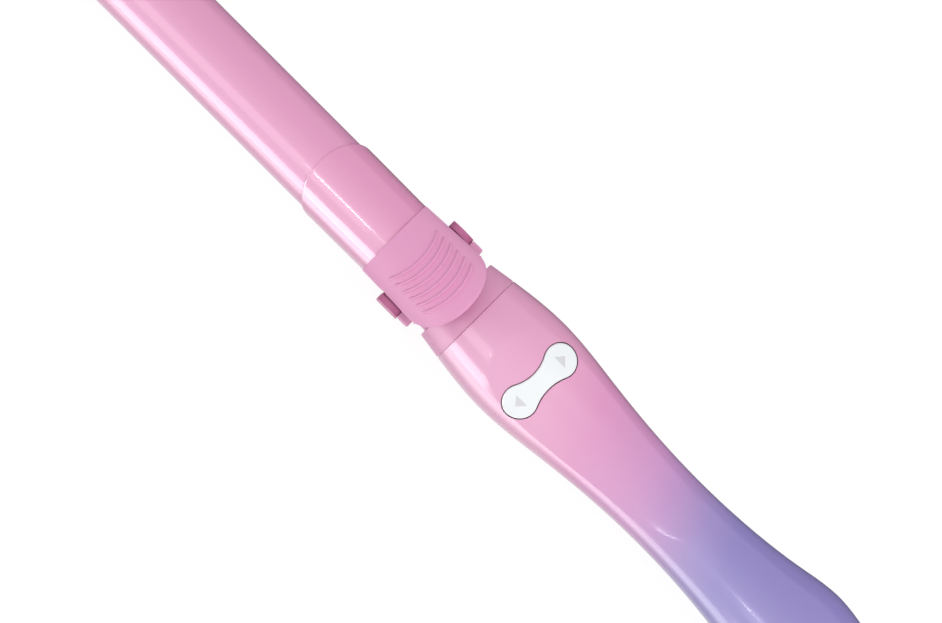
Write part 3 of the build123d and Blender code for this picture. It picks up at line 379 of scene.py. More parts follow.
def rounded(corners, steps=5):
    """An outline through (a, b, radius) corners. The arc at a corner starts and ends at radius / tan(half the
    corner's angle) from it, and its centre is on the corner's middle line."""
    spots = np.array([corner[:2] for corner in corners], float)
    parts = []
    for i, (_, _, radius) in enumerate(corners):
        here, before, after = spots[i], spots[i - 1], spots[(i + 1) % len(spots)]
        if radius == 0:
            parts.append(here[None])
            continue
        back = (before - here) / np.linalg.norm(before - here)
        ahead = (after - here) / np.linalg.norm(after - here)
        half = math.acos(np.clip(back @ ahead, -1, 1)) / 2
        centre = here + (back + ahead) / np.linalg.norm(back + ahead) * radius / math.sin(half)
        start, end = here + back * radius / math.tan(half), here + ahead * radius / math.tan(half)
        share = np.linspace(0, 1, steps + 1)[:, None]
        arm = start - centre + (end - start) * share
        parts.append(centre + arm / np.linalg.norm(arm, axis=1)[:, None] * radius)
    return np.concatenate(parts)


def turned(outline, around, centre=(0.0, 0.0, 0.0), upright=False):
    """Points of an outline of (along, radius) turned about the tool's axis, or about an upright line through
    centre: (x, r sin a, r cos a) for each angle a."""
    angle = np.linspace(0, 2 * np.pi, around, endpoint=False)
    along = outline[:, :1] * np.ones(around)
    across, rise = outline[:, 1:] * np.sin(angle), outline[:, 1:] * np.cos(angle)
    order = (across, rise, along) if upright else (along, across, rise)
    return np.stack(order, axis=-1) + np.array(centre)


def lathe(name, corners, material, body, stands_for=(), around=192, steps=5):
    """A piece turned about the tool's axis, from its closed outline's corners."""
    outline = rounded(corners, steps)
    faces = quads(len(outline), around, True, True)
    piece(name, turned(outline, around), faces, material, body, stands_for, sharp=40.0)


# %% [markdown]
# ## Finishes
#
# The iron has few colours, but several surfaces. Moulded plastic carries the grain of its mould: fine
# spark erosion where it should feel dry, polish where it should shine. A polished moulding still waves a
# little, because plastic shrinks over its ribs. Both come from noise at a size in millimetres, as bump,
# while a larger noise changes roughness where hands wipe the grain.

# %% Moulded plastic and enamel
MICROMETRE = 1e-6
PATCH_SIZE, SWELL_SIZE = 18.0, 12.0


def finish(
    name, colour, roughness, grain, depth, wave=0.0, coat=0.0, coat_roughness=0.05, ior=1.5, metallic=0.0,
    blotch=0.02,
):
    """A Principled material. grain is the size in millimetres of its texture and depth its height in
    micrometres; wave adds swells of a height in micrometres; blotch is how far the roughness wanders."""
    material = bpy.data.materials.new(name)
    material.use_nodes = True
    tree = material.node_tree
    tree.nodes.clear()
    place = add(tree, "TexCoord").outputs["Object"]
    surface = add(tree, "BsdfPrincipled", {
        "Base Color": linear(colour), "Metallic": metallic, "IOR": ior,
        "Coat Weight": coat, "Coat Roughness": coat_roughness,
    })
    patches = add(tree, "TexNoise", {"Vector": place, "Scale": 1 / (PATCH_SIZE * MM), "Detail": 2.0})
    uneven = add(tree, "MapRange", {
        "Value": patches.outputs[0], "To Min": max(roughness - blotch, 0.02), "To Max": roughness + blotch,
    })
    tree.links.new(uneven.outputs[0], surface.inputs["Roughness"])
    fine = add(tree, "TexNoise", {"Vector": place, "Scale": 1 / (grain * MM), "Detail": 3.0})
    bump = add(tree, "Bump", {"Strength": 1.0, "Distance": depth * MICROMETRE, "Height": fine.outputs[0]})
    if wave:
        swell = add(tree, "TexNoise", {"Vector": place, "Scale": 1 / (SWELL_SIZE * MM), "Detail": 0.0})
        bump = add(tree, "Bump", {
            "Strength": 1.0, "Distance": wave * MICROMETRE, "Height": swell.outputs[0],
            "Normal": bump.outputs[0],
        })
    tree.links.new(bump.outputs[0], surface.inputs["Normal"])
    add(tree, "OutputMaterial", {"Surface": surface.outputs[0]})
    return material


def surface_of(material):
    """The Principled shader of a material."""
    return next(item for item in material.node_tree.nodes if item.type == "BSDF_PRINCIPLED")


# %% [markdown]
# Barrel and clamp spoon are aluminium with a baked pink enamel. The enamel flows out before it cures, so
# its gloss has an orange-peel ripple about 2 mm wide. Under the clear top is a colour coat with a slightly
# broader shine, which gives the soft light band beside the sharp one.

# %% Materials for the outside
enamel = finish(
    "pink_enamel_on_aluminium", "#E69DC5", 0.3, 2.0, 2.0, wave=4.0, coat=0.8, coat_roughness=0.065,
)
gloss_pink = finish(
    "polished_pink_abs", "#E69AC3", 0.2, 1.2, 0.6, wave=2.0, coat=0.9, coat_roughness=0.03, ior=1.53,
)
satin_pink = finish("spark_eroded_pink_abs", "#E9A2CA", 0.5, 0.35, 9.0, ior=1.34, blotch=0.04)
soft_pink = finish("fine_matt_pink_abs", "#DF9CC1", 0.36, 0.3, 5.0, ior=1.46, blotch=0.03)
dark_pink = finish("satin_dark_pink_nylon", "#C16B98", 0.45, 0.3, 8.0, ior=1.53, blotch=0.04)
white_abs = finish("polished_white_abs", "#F5F8FA", 0.18, 1.0, 1.0, wave=8.0, ior=1.53)
grey_ink = finish("pad_printed_grey_ink", "#DCDBE0", 0.38, 0.25, 2.0, ior=1.48)

# %% [markdown]
# The handle is sprayed: pink at the collar runs into lavender towards the tail, under a clear lacquer. The
# change is long, a little slanted and not even: it deepens slowly at first and turns quickly at the end. So
# colour stops are placed along x plus some y, and a slow noise stirs the edge of the mist.

# %% Two-tone lacquer
SPRAY_START, SPRAY_END = 40.0, 132.0
SPRAY_SLANT = 0.32
MIST_SIZE, MIST_DRIFT = 30.0, 6.0
SPRAY_STOPS = ((0.0, "#E9A5CA"), (0.22, "#E098C5"), (0.55, "#CE95C8"), (0.85, "#A08DC8"), (1.0, "#9286C6"))


def sprayed(name, stops):
    """Lacquer that fades through colour stops, given as shares of the way from start to end. The noise
    averages a half, so half the drift is added to both ends."""
    material = finish(name, stops[0][1], 0.2, 1.0, 0.8, wave=4.0, coat=0.5, coat_roughness=0.12)
    tree = material.node_tree
    place = add(tree, "TexCoord").outputs["Object"]
    split = add(tree, "SeparateXYZ", {0: place})
    slant = add(tree, "Math", {
        0: split.outputs["Y"], 1: SPRAY_SLANT, 2: split.outputs["X"],
    }, operation="MULTIPLY_ADD")
    mist = add(tree, "TexNoise", {"Vector": place, "Scale": 1 / (MIST_SIZE * MM), "Detail": 1.0})
    drift = add(tree, "Math", {
        0: mist.outputs[0], 1: MIST_DRIFT * MM, 2: slant.outputs[0],
    }, operation="MULTIPLY_ADD")
    share = add(tree, "MapRange", {
        "Value": drift.outputs[0],
        "From Min": SEAM_X + (SPRAY_START + MIST_DRIFT / 2) * MM,
        "From Max": SEAM_X + (SPRAY_END + MIST_DRIFT / 2) * MM,
    })
    ramp = add(tree, "ValToRGB", {0: share.outputs[0]})
    ramp.color_ramp.interpolation = "LINEAR"
    while len(ramp.color_ramp.elements) < len(stops):
        ramp.color_ramp.elements.new(0.5)
    for element, (place_on_ramp, code) in zip(ramp.color_ramp.elements, stops):
        element.position = place_on_ramp
        element.color = linear(code)
    tree.links.new(ramp.outputs[0], surface_of(material).inputs["Base Color"])
    return material


lacquer = sprayed("pink_to_lavender_lacquer", SPRAY_STOPS)
lavender_gloss = finish("polished_lavender_abs", "#9586C6", 0.18, 1.0, 1.0, wave=4.0, ior=1.53)

# %% [markdown]
# ## Barrel and cool tip
#
# The barrel is a drawn tube, so it is an exact cylinder with broken edges. The cool tip at its end is a
# moulded cap that fingers hold, so it has two grip grooves and a generous round.

# %% Barrel
tip_low, tip_high = extent("cool_tip")
tube_low, tube_high = extent("barrel_tube")
TIP_START = tube_low[0]
BARREL_ROOT = tube_high[0]
BARREL_R = tube_high[2]
TUBE_WALL = 1.2
tube_bore = BARREL_R - TUBE_WALL
lathe("barrel_skin", [
    (TIP_START, BARREL_R, 0.3), (BARREL_ROOT, BARREL_R, 0.3),
    (BARREL_ROOT, tube_bore, 0.1), (TIP_START, tube_bore, 0.1),
], enamel, "barrel", ["barrel_tube"])

# %% Cool tip
TIP_END = tip_low[0]
TIP_R = tip_high[2]
GROOVE_STARTS = (11.0, 15.5)
GROOVE_DEPTH, GROOVE_WIDTH, GROOVE_SLOPE = 0.6, 2.0, 0.6
TIP_TAPER, TIP_SHOULDER, TIP_ROUND = 1.8, 8.0, 6.0
TIP_FACE, PLUG_WALL = 3.0, 2.0
FIT = 0.05
plug_end = tip_high[0]
plug_r = tube_bore - FIT
plug_bore = tube_bore - PLUG_WALL
grooves = []
for start in GROOVE_STARTS:
    first = TIP_END + start
    grooves += [
        (first, TIP_R, 0.25), (first + GROOVE_SLOPE, TIP_R - GROOVE_DEPTH, 0.2),
        (first + GROOVE_WIDTH - GROOVE_SLOPE, TIP_R - GROOVE_DEPTH, 0.2), (first + GROOVE_WIDTH, TIP_R, 0.25),
    ]
lathe("cool_tip_cap", [
    (TIP_END, 0.0, 0), (TIP_END, TIP_R - TIP_TAPER, TIP_ROUND), (TIP_END + TIP_SHOULDER, TIP_R, TIP_ROUND),
    *grooves, (TIP_START, TIP_R, 0.8), (TIP_START, plug_r, 0.1), (plug_end, plug_r, 0.4),
    (plug_end, plug_bore, 0.3), (TIP_END + TIP_FACE, plug_bore, 0.3), (TIP_END + TIP_FACE, 0.0, 0),
], soft_pink, "barrel", ["cool_tip"], around=128)

# %% [markdown]
# ## The clamp
#
# Three pieces make the clamp: a sheet-metal spoon, the glossy saddle at its root, and the satin thumb
# lever. Spoon and saddle are arcs about the barrel's own axis, so both are grids over an arc and a length.
# The spoon's free end is half a circle in plan, which narrows each row of the grid.

# %% Spoon
plate_low, plate_high = extent("clamp_plate")
PLATE_R = plate_high[2]
PLATE_THICK, PLATE_BEVEL = 0.5, 0.16
PLATE_HALF = plate_high[1]
PLATE_END = plate_low[0]
STRAIGHT_ROWS = 60

turn = np.linspace(math.radians(2), math.pi / 2, 24)
end_rows = PLATE_END + PLATE_HALF * (1 - np.cos(turn))
half_width = np.concatenate([PLATE_HALF * np.sin(turn), np.full(STRAIGHT_ROWS, PLATE_HALF)])
rows = np.concatenate([end_rows, np.linspace(end_rows[-1], plate_high[0], STRAIGHT_ROWS + 1)[1:]])
across = np.sin(np.linspace(-math.pi / 2, math.pi / 2, 49))
angle = np.arcsin(half_width / PLATE_R)[:, None] * across
points = np.stack([rows[:, None] + 0 * angle, PLATE_R * np.sin(angle), PLATE_R * np.cos(angle)], axis=-1)
sheet(
    "clamp_spoon", points, enamel, "clamp", "clamp_plate", PLATE_THICK, PLATE_BEVEL,
    segments=3,
)

# %% Saddle at the clamp's root
tongue_low, tongue_high = extent("clamp_tongue")
lever_low, lever_high = extent("thumb_lever")
TONGUE_FRONT = tongue_low[0]
LEVER_FRONT = lever_low[0]
TONGUE_R_FRONT, TONGUE_R_REAR = tongue_high[1], 16.75
ARCH_DEPTH = 9.5
LIP_LENGTH, LIP_DROP, LIP_ROUND = 0.9, 0.3, 0.96
HIDDEN_TAIL = 2.5
SADDLE_WALL, SADDLE_BEVEL = 0.42, 0.12

angle = np.linspace(-math.pi / 2, math.pi / 2, 97)
share = np.concatenate([np.linspace(0, 0.05, 8), np.linspace(0.05, 1, 40)[1:]])[:, None]
front_edge = TONGUE_FRONT + ARCH_DEPTH * (1 - np.cos(angle))
length = front_edge + share * (LEVER_FRONT + HIDDEN_TAIL - front_edge)
lip = np.clip(1 - (length - front_edge) / LIP_LENGTH, 0, 1)
widening = (TONGUE_R_REAR - TONGUE_R_FRONT) * (length - TONGUE_FRONT) / (LEVER_FRONT - TONGUE_FRONT)
radius = TONGUE_R_FRONT + widening
radius = radius - LIP_DROP * (1 - np.sqrt(1 - lip**2 * LIP_ROUND))
points = np.stack([length, radius * np.sin(angle), radius * np.cos(angle)], axis=-1)
sheet(
    "clamp_saddle", points, gloss_pink, "clamp", "clamp_tongue", SADDLE_WALL,
    SADDLE_BEVEL,
)

# %% [markdown]
# The thumb lever is a half pipe tilted up from the barrel, with its rear end cut to a D. Its grid runs
# along the tilted axis and round it. Each column starts at the front plane and ends on the D, and each row
# reaches down to the skirt, whose height is a bent line over x. How far round a row reaches and where its
# columns end depend on each other, so both are worked out again until they agree. Six arched ribs give grip:
# a point's height above the pipe is a smooth bump of its distance to the nearest arc, drawn in plan.

# %% Thumb lever
LEVER_TILT = math.radians(16.5)
LEVER_R_FRONT, LEVER_R_REAR, LEVER_R_REAR_AT = 16.95, 17.95, 28.6
LEVER_END = lever_high[0]
ROUND_START = -14.6
LEVER_HALF = 18.0
RIB_COUNT = 6
RIB_FIRST, RIB_PITCH = -29.6, 3.58
RIB_HALF_CHORD, RIB_SAGITTA = 13.0, 3.7
RIB_WIDTH, RIB_FLANK, RIB_HEIGHT, RIB_FADE = 1.35, 0.36, 0.95, 1.2
RIM_ROUND, RIM_DROP, RIM_LEAST = 1.3, 0.85, 0.25
LEVER_WALL = 1.0
COLUMNS, COLUMN_BUNCHING = 131, 1.32
SKIRT = ((-43.5, 0.4), (-36.0, 0.4), (-31.65, 6.2), (-14.6, 8.6), (0.0, 8.6))


def lever_point(s, angle, radius):
    """A point of the tilted pipe: s along its axis, then radius outwards at an angle from straight up."""
    lift = radius * np.cos(angle)
    x = LEVER_FRONT + s * math.cos(LEVER_TILT) - lift * math.sin(LEVER_TILT)
    z = s * math.sin(LEVER_TILT) + lift * math.cos(LEVER_TILT)
    return np.stack([x, radius * np.sin(angle), z], axis=-1)


def lever_radius(s):
    """The pipe's radius, which grows evenly along its axis."""
    return LEVER_R_FRONT + (LEVER_R_REAR - LEVER_R_FRONT) / LEVER_R_REAR_AT * s


def smooth_step(share):
    """A share from 0 to 1 with a level start and end."""
    return share * share * (3 - 2 * share)


share = np.concatenate([np.linspace(0, 0.9, 240), 1 - 0.1 * np.cos(np.linspace(0, math.pi / 2, 34)[1:])])
across = np.sin(np.linspace(-COLUMN_BUNCHING, COLUMN_BUNCHING, COLUMNS)) / math.sin(COLUMN_BUNCHING)
reach_angle = np.full(share.shape, math.pi / 2)
for _ in range(12):
    angle = reach_angle[:, None] * across
    s = np.zeros(angle.shape)
    for _ in range(6):
        radius = lever_radius(s)
        plan_half = np.sqrt(np.clip(1 - (radius * np.sin(angle) / LEVER_HALF) ** 2, 0, 1))
        plan_end = ROUND_START + (LEVER_END - ROUND_START) * plan_half
        lift = radius * np.cos(angle) * math.sin(LEVER_TILT)
        first = lift / math.cos(LEVER_TILT)
        last = (plan_end - LEVER_FRONT + lift) / math.cos(LEVER_TILT)
        s = first + share[:, None] * (last - first)
    edge = lever_point(s[:, -1], angle[:, -1], lever_radius(s[:, -1]))
    skirt = np.interp(edge[:, 0], *np.array(SKIRT).T)
    wanted = (skirt - s[:, -1] * math.sin(LEVER_TILT)) / (lever_radius(s[:, -1]) * math.cos(LEVER_TILT))
    reach_angle = 0.5 * reach_angle + 0.5 * np.arccos(np.clip(wanted, -1, 1))

skin = lever_point(s, angle, lever_radius(s))
x, y = skin[..., 0], skin[..., 1]
rib_r = (RIB_HALF_CHORD**2 + RIB_SAGITTA**2) / (2 * RIB_SAGITTA)
crests = RIB_FIRST + RIB_PITCH * np.arange(RIB_COUNT)
to_arc = np.abs(np.hypot(x[..., None] - (crests - rib_r), y[..., None]) - rib_r).min(axis=-1)
fade = np.clip((RIB_HALF_CHORD - np.abs(y)) / RIB_FADE, 0, 1)
flank = np.clip((RIB_WIDTH / 2 - to_arc) / RIB_FLANK, 0, 1)
bump = smooth_step(flank) * smooth_step(fade)
to_rim = (last - s) * math.cos(LEVER_TILT) * np.maximum(plan_half, RIM_LEAST)
past_rim = np.clip(RIM_ROUND - to_rim, 0, RIM_ROUND * 0.98)
rolled = RIM_ROUND - np.sqrt(RIM_ROUND**2 - past_rim**2)
points = lever_point(s, angle, lever_radius(s) + RIB_HEIGHT * bump - RIM_DROP * rolled)
sheet(
    "thumb_lever_skin", points, satin_pink, "clamp", "thumb_lever", LEVER_WALL,
    sharp=60,
)

# %% [markdown]
# Under the lever two ears turn on the hinge pin. An ear is a thick plate with a round eye: half a disc below,
# straight sides above. Seen from the eye's centre, each direction meets the outline once, so the outline is
# one polar function, and the plate is four rings of points. The lever is round, so an ear's inner face is
# taller than its outer face.

# %% Hinge ears
EAR_BORE, EAR_HALF = 1.55, 3.0
EAR_INNER_Y, EAR_INNER_TOP = 10.3, 5.3
EAR_OUTER_Y, EAR_OUTER_TOP = 12.8, 2.8
SIDES = (("left", -1), ("right", 1))


def eye_plate(bore, half, faces, around=96):
    """Points (thickness, across, up) from the eye's centre, and quads. faces gives the place of each of the
    plate's two faces and how far it reaches above the eye."""
    angle = np.linspace(0, 2 * math.pi, around, endpoint=False)
    side, up = np.sin(angle), np.cos(angle)
    rings = []
    for place, height in faces:
        above = np.minimum(half / np.maximum(np.abs(side), 1e-6), height / np.maximum(up, 1e-6))
        edge = np.where(up > 0, above, half)
        eye = np.full(around, bore)
        rings.append([np.stack([np.full(around, place), r * side, r * up], axis=-1) for r in (eye, edge)])
    (near_eye, near_edge), (far_eye, far_edge) = rings
    return np.stack([near_eye, near_edge, far_edge, far_eye]), quads(4, around, True, True)


pin_low, pin_high = extent("hinge_pin")
PIN_X, PIN_Z = (pin_low[0] + pin_high[0]) / 2, (pin_low[2] + pin_high[2]) / 2
ear, ear_faces = eye_plate(EAR_BORE, EAR_HALF, [(EAR_INNER_Y, EAR_INNER_TOP), (EAR_OUTER_Y, EAR_OUTER_TOP)])
for side_name, side in SIDES:
    points = np.stack([PIN_X + ear[..., 1], side * ear[..., 0], PIN_Z + ear[..., 2]], axis=-1)
    piece(f"lever_ear_{side_name}", points, ear_faces, satin_pink, "clamp")

# %% [markdown]
# ## Collar
#
# The collar is a short cone that turns with the barrel against the handle. Its front edge is rounded, and
# its rear edge is nearly sharp, because the thin dark seam to the handle has to look even all round.

# %% Front collar
collar_low, collar_high = extent("front_collar")
COLLAR_START = collar_low[0]
COLLAR_R_REAR = collar_high[2]
COLLAR_R_FRONT = 18.55
COLLAR_SEAT_R = 14.0
COLLAR_BORE, COLLAR_WEB = 9.05, 3.5
lathe("turning_collar", [
    (COLLAR_START, COLLAR_R_FRONT, 0.5), (0.0, COLLAR_R_REAR, 0.12), (0.0, COLLAR_BORE, 0.1),
    (-COLLAR_WEB, COLLAR_BORE, 0.1), (-COLLAR_WEB, COLLAR_SEAT_R, 0.1), (COLLAR_START, COLLAR_SEAT_R, 0.2),
], soft_pink, "barrel", ["front_collar"])

# %% [markdown]
# ## Handle
#
# The handle is a turned body whose front is cut by a crowned face: a circle of 30 mm radius carried along
# the tool. Both outlines are smooth curves through stations, measured in the photograph as far as it shows
# the handle. For every x and every direction round the axis, the surface is the nearer of the two, blended
# where they are less than 0.3 mm apart, which gives the soft crease that the photograph shows beside the
# rocker.

# %% Curves through stations


def smooth_curve(stations):
    """A natural cubic spline through (x, value) stations. Its second slopes solve one linear system, in which
    each inner station's two spans must bend alike."""
    x, value = np.array(stations, float).T
    gap = np.diff(x)
    system = np.eye(len(x))
    target_slopes = np.zeros(len(x))
    for i in range(1, len(x) - 1):
        system[i, i - 1:i + 2] = gap[i - 1], 2 * (gap[i - 1] + gap[i]), gap[i]
        target_slopes[i] = 6 * ((value[i + 1] - value[i]) / gap[i] - (value[i] - value[i - 1]) / gap[i - 1])
    bend = np.linalg.solve(system, target_slopes)

    def curve(at):
        i = np.clip(np.searchsorted(x, at) - 1, 0, len(gap) - 1)
        left, after = at - x[i], x[i + 1] - at
        arch = bend[i] * after**3 + bend[i + 1] * left**3
        from_left = (value[i] - bend[i] * gap[i] ** 2 / 6) * after
        from_right = (value[i + 1] - bend[i + 1] * gap[i] ** 2 / 6) * left
        return arch / (6 * gap[i]) + (from_left + from_right) / gap[i]

    return curve


body_radius = smooth_curve((
    (0.3, 20.2), (12, 21.7), (26.5, 22.4), (52, 20.0), (74.5, 17.6), (100, 16.45), (134.5, 18.0), (151, 20.2),
    (171, 22.785), (184, 21.3),
))
FACE_START, FACE_END = -2, 190
face_height = smooth_curve((
    (FACE_START, 23.5), (12, 21.8), (26, 20.4), (40, 18.4), (56, 16.2), (77, 14.7), (98, 14.4), (112, 15.8),
    (128, 18.9), (150, 24.5), (FACE_END, 34),
))
CROWN_R = 30.0
CREASE = 0.3
WALL = 2.2
LEAST_SLOPE = 0.2
LEAST_R, LARGEST_R = 1, 40
shell_low, shell_high = extent("handle_front_shell")
SHELL_START, SHELL_END = shell_low[0], shell_high[0]


def crown_height(x, y):
    """The crowned face's height over (x, y). The circle's centre runs one radius under the face's line and
    the circle stands square to that line, so a point over x belongs to a centre a little before or after
    it."""
    arm = np.sqrt(np.clip(CROWN_R**2 - y**2, 1, None))
    at = x + 0 * arm
    for _ in range(5):
        slope = face_height(at + 0.5) - face_height(at - 0.5)
        lean = 1 / np.sqrt(1 + slope**2)
        at = np.clip(x + arm * slope * lean, FACE_START, FACE_END)
    return face_height(at) - CROWN_R + arm * lean


def handle_radius(x, angle):
    """The distance from the axis to the handle's surface: the smaller of body and face, with the corner
    between them rounded by a smooth minimum."""
    body = body_radius(x)
    radius = body.copy()
    for _ in range(8):
        y = radius * np.sin(angle)
        gap = crown_height(x, y) - radius * np.cos(angle)
        side_slope = y / np.sqrt(np.clip(CROWN_R**2 - y**2, 1, None))
        steepness = np.maximum(side_slope * np.sin(angle) + np.cos(angle), LEAST_SLOPE)
        radius = np.clip(radius + gap / steepness, LEAST_R, LARGEST_R)
    facing = np.cos(angle) > 0.05
    crown = np.where(facing, radius, body + LARGEST_R)
    overlap = np.clip((CREASE - np.abs(body - crown)) / CREASE, 0, 1)
    return np.minimum(body, crown) - overlap**2 * CREASE / 4


# %% [markdown]
# Each shell is half of that form with its wall thickness. Where the two shells meet, the edges are broken,
# which leaves the fine parting line that runs along both sides of the real handle. The window for the
# rocker and the round holes are then cut with booleans, as the mould's cores would leave them.

# %% Handle shells
FRONT_BREAK, REAR_BREAK = 0.15, 0.12
PARTING_BREAK, PARTING_WIDTH, PARTING_GAP = 0.1, 0.25, 0.02
MEAN_R = 20
HARD_EDGE = math.radians(32)
along = np.concatenate([
    SHELL_START + np.array([0.0, 0.03, 0.08, 0.15, 0.25]),
    np.linspace(SHELL_START + 0.5, SHELL_END - 0.4, 250), SHELL_END - np.array([0.2, 0.1, 0.0]),
])[:, None]
front_break = np.clip(FRONT_BREAK - (along - SHELL_START), 0, FRONT_BREAK)
rear_break = np.clip(REAR_BREAK - (SHELL_END - along), 0, REAR_BREAK)


def shell_points(front):
    """The outer surface of one shell, from parting line to parting line, with its edges broken."""
    half = np.linspace(-math.pi / 2, math.pi / 2, 141)
    grid_angle = half + 0 * along
    direction = grid_angle if front else math.pi - grid_angle
    radius = handle_radius(along + 0 * half, direction) - (front_break + rear_break)
    arc = (math.pi / 2 - np.abs(half)) * MEAN_R
    radius = radius - PARTING_BREAK * np.clip(1 - arc / PARTING_WIDTH, 0, 1) ** 2
    y = radius * np.sin(direction)
    z = radius * np.cos(direction)
    z = z + (PARTING_GAP if front else -PARTING_GAP) * (np.abs(half) > math.pi / 2 - 1e-6)
    return np.stack([along + 0 * half, y, z], axis=-1)


def cutter(name, points, faces):
    """A closed mesh for a boolean, in tool millimetres."""
    return show(name, raw_mesh(name, points, faces, 1e-7))


def cut(target_piece, tools):
    """Subtract the tools from a piece for good, apply all its modifiers and delete the tools."""
    for tool in tools:
        modify(target_piece, "BOOLEAN", object=tool, operation="DIFFERENCE", solver="EXACT")
    depsgraph = bpy.context.evaluated_depsgraph_get()
    baked = bpy.data.meshes.new_from_object(target_piece.evaluated_get(depsgraph))
    target_piece.modifiers.clear()
    target_piece.data = baked
    smooth(baked)
    baked.set_sharp_from_angle(angle=HARD_EDGE)
    for tool in tools:
        bpy.data.objects.remove(tool)
    print(target_piece.name, "cut,", len(baked.polygons), "faces")


# %% [markdown]
# The rocker lies across the crowned face in a window of its own shape. That shape, a dog bone, is two round
# lobes joined by a waist whose hollow sides touch both lobes. Seen from its centre, each direction meets
# the outline once, so one polar function draws the window, the button and its rounded edge.

# %% Dog-bone outline
LOBE_R, LOBE_Y, WAIST = 6.5, 10.75, 7.9
HOLLOW_R = (LOBE_Y**2 + (WAIST / 2) ** 2 - LOBE_R**2) / (2 * LOBE_R - WAIST)
HOLLOW_X = WAIST / 2 + HOLLOW_R
tilt = joint_of["rocker_tilt"]
rocker_along = np.array(tilt["axis"])
rocker_up = np.array([-rocker_along[2], 0.0, rocker_along[0]])
PIVOT_DEPTH = 4.6
rocker_centre = (np.array(tilt["pos_m"]) - ORIGIN) / MM + rocker_up * PIVOT_DEPTH
rocker_frame = np.array([rocker_along, [0, 1, 0], rocker_up])


def on_face(points):
    """Points given in the rocker's own frame (along the handle, across, up) in tool millimetres."""
    return rocker_centre + points @ rocker_frame


def bone_reach(angle, grow=0.0):
    """The outline's distance from the centre in a direction, angle 0 being along the handle: on a lobe it is
    the far root of the lobe's circle, and at the waist the near root of the hollow's circle."""
    c, s = np.abs(np.cos(angle)), np.abs(np.sin(angle))
    lobe, hollow = LOBE_R + grow, HOLLOW_R - grow
    lobe_root = LOBE_Y * s + np.sqrt(np.clip(lobe**2 - (LOBE_Y * c) ** 2, 0, None))
    hollow_root = HOLLOW_X * c - np.sqrt(np.clip(hollow**2 - (HOLLOW_X * s) ** 2, 0, None))
    share_of_lobe = lobe / (LOBE_R + HOLLOW_R)
    split = np.arctan2(LOBE_Y * (1 - share_of_lobe), HOLLOW_X * share_of_lobe)
    return np.where(np.arctan2(s, c) > split, lobe_root, hollow_root)


def bone_depth(x, y):
    """How far a point lies inside the outline: from the nearest lobe's circle, or from the hollows beside
    the waist."""
    y = np.abs(y)
    in_lobe = LOBE_R - np.hypot(x, y - LOBE_Y)
    in_waist = np.hypot(np.abs(x) - HOLLOW_X, y) - HOLLOW_R
    beside_waist = np.abs(x) * LOBE_Y + (y - LOBE_Y) * HOLLOW_X < 0
    return np.where(beside_waist, in_waist, in_lobe)


def bone_prism(grow, low, high, around=160):
    """Points and faces of a closed prism of the outline in the rocker's frame."""
    angle = np.linspace(0, 2 * math.pi, around, endpoint=False)
    reach_now = bone_reach(angle, grow)
    share = np.array([0.0, 1.0, 1.0, 0.0])[:, None]
    height = np.array([low, low, high, high])[:, None]
    x, y = share * reach_now * np.cos(angle), share * reach_now * np.sin(angle)
    return on_face(np.stack([x, y, height + 0 * x], axis=-1)), quads(4, around, False, True)


# %% Cut the shells
POWER_X, POWER_R, POWER_GAP = 172.0, 4.5, 0.15
LIGHT_X, LIGHT_R, LIGHT_GAP = 163.5, 1.5, 0.03
ROCKER_GAP = 0.4
SCREW_STATIONS = ((50.0, 12.5), (140.0, 8.0))
SCREW_HOLE_R = 2.35
WINDOW_SPAN, FRONT_SPAN, BACK_SPAN = (-10, 8), (10, 30), (-30, 0)


def post(name, x, y, radius, low, high, around=48):
    """A cutter: an upright cylinder between two heights."""
    outline = np.array([(low, 0.0), (low, radius), (high, radius), (high, 0.0)])
    return cutter(name, turned(outline, around, (x, y, 0.0), True), quads(4, around, False, True))


front_shell = sheet(
    "handle_front", shell_points(True), lacquer, "handle", "handle_front_shell", WALL,
)
cut(front_shell, [
    cutter("window", *bone_prism(ROCKER_GAP, *WINDOW_SPAN)),
    post("power_hole", POWER_X, 0, POWER_R + POWER_GAP, *FRONT_SPAN, 96),
    post("light_hole", LIGHT_X, 0, LIGHT_R + LIGHT_GAP, *FRONT_SPAN),
])
back_shell = sheet(
    "handle_back", shell_points(False), lacquer, "handle", "handle_back_shell", WALL,
)
screw_places = [(x, side * y) for x, y in SCREW_STATIONS for side in (1, -1)]
cut(back_shell, [
    post(f"screw_hole_{i}", x, y, SCREW_HOLE_R, *BACK_SPAN) for i, (x, y) in enumerate(screw_places)
])

# %% [markdown]
# The front wall of the handle holds the bearing of the barrel's spindle. A low lip on it almost touches the
# collar: it keeps dust out, and keeps light from showing through, so the seam is a dark line all round.

# %% Front wall
WALL_END, WEB_END = 10.0, 3.0
BEARING_SEAT, SPINDLE_HOLE = 12.03, 9.3
OVERLAP = 0.2
wall_start = SHELL_START + OVERLAP
inside = body_radius(np.array([SHELL_START, WALL_END])) - WALL + OVERLAP
LIP_R, LIP_GAP = 19.75, 0.06
lathe("handle_front_wall", [
    (LIP_GAP, BEARING_SEAT, 0.05), (LIP_GAP, LIP_R, 0.05), (wall_start, LIP_R, 0.05),
    (wall_start, inside[0], 0), (WALL_END, inside[1], 0.1), (WALL_END, BEARING_SEAT, 0.1),
    (WEB_END, BEARING_SEAT, 0.1), (WEB_END, SPINDLE_HOLE, 0.1), (SHELL_START, SPINDLE_HOLE, 0.1),
    (SHELL_START, BEARING_SEAT, 0),
], lacquer, "handle", steps=3)

# %% [markdown]
# Rings of the same polar outline, shrunk towards the centre, cover the button. Its top follows the crown,
# a little above the handle, and its edge rolls over with a 0.7 mm radius that is worked out from how far
# each point lies inside the outline.

# %% Rocker button
PROUD, EDGE_R, CAP_DEPTH = 0.7, 0.7, 2.4
EDGE_SHARE = 0.16
CAP_COLUMNS = 240


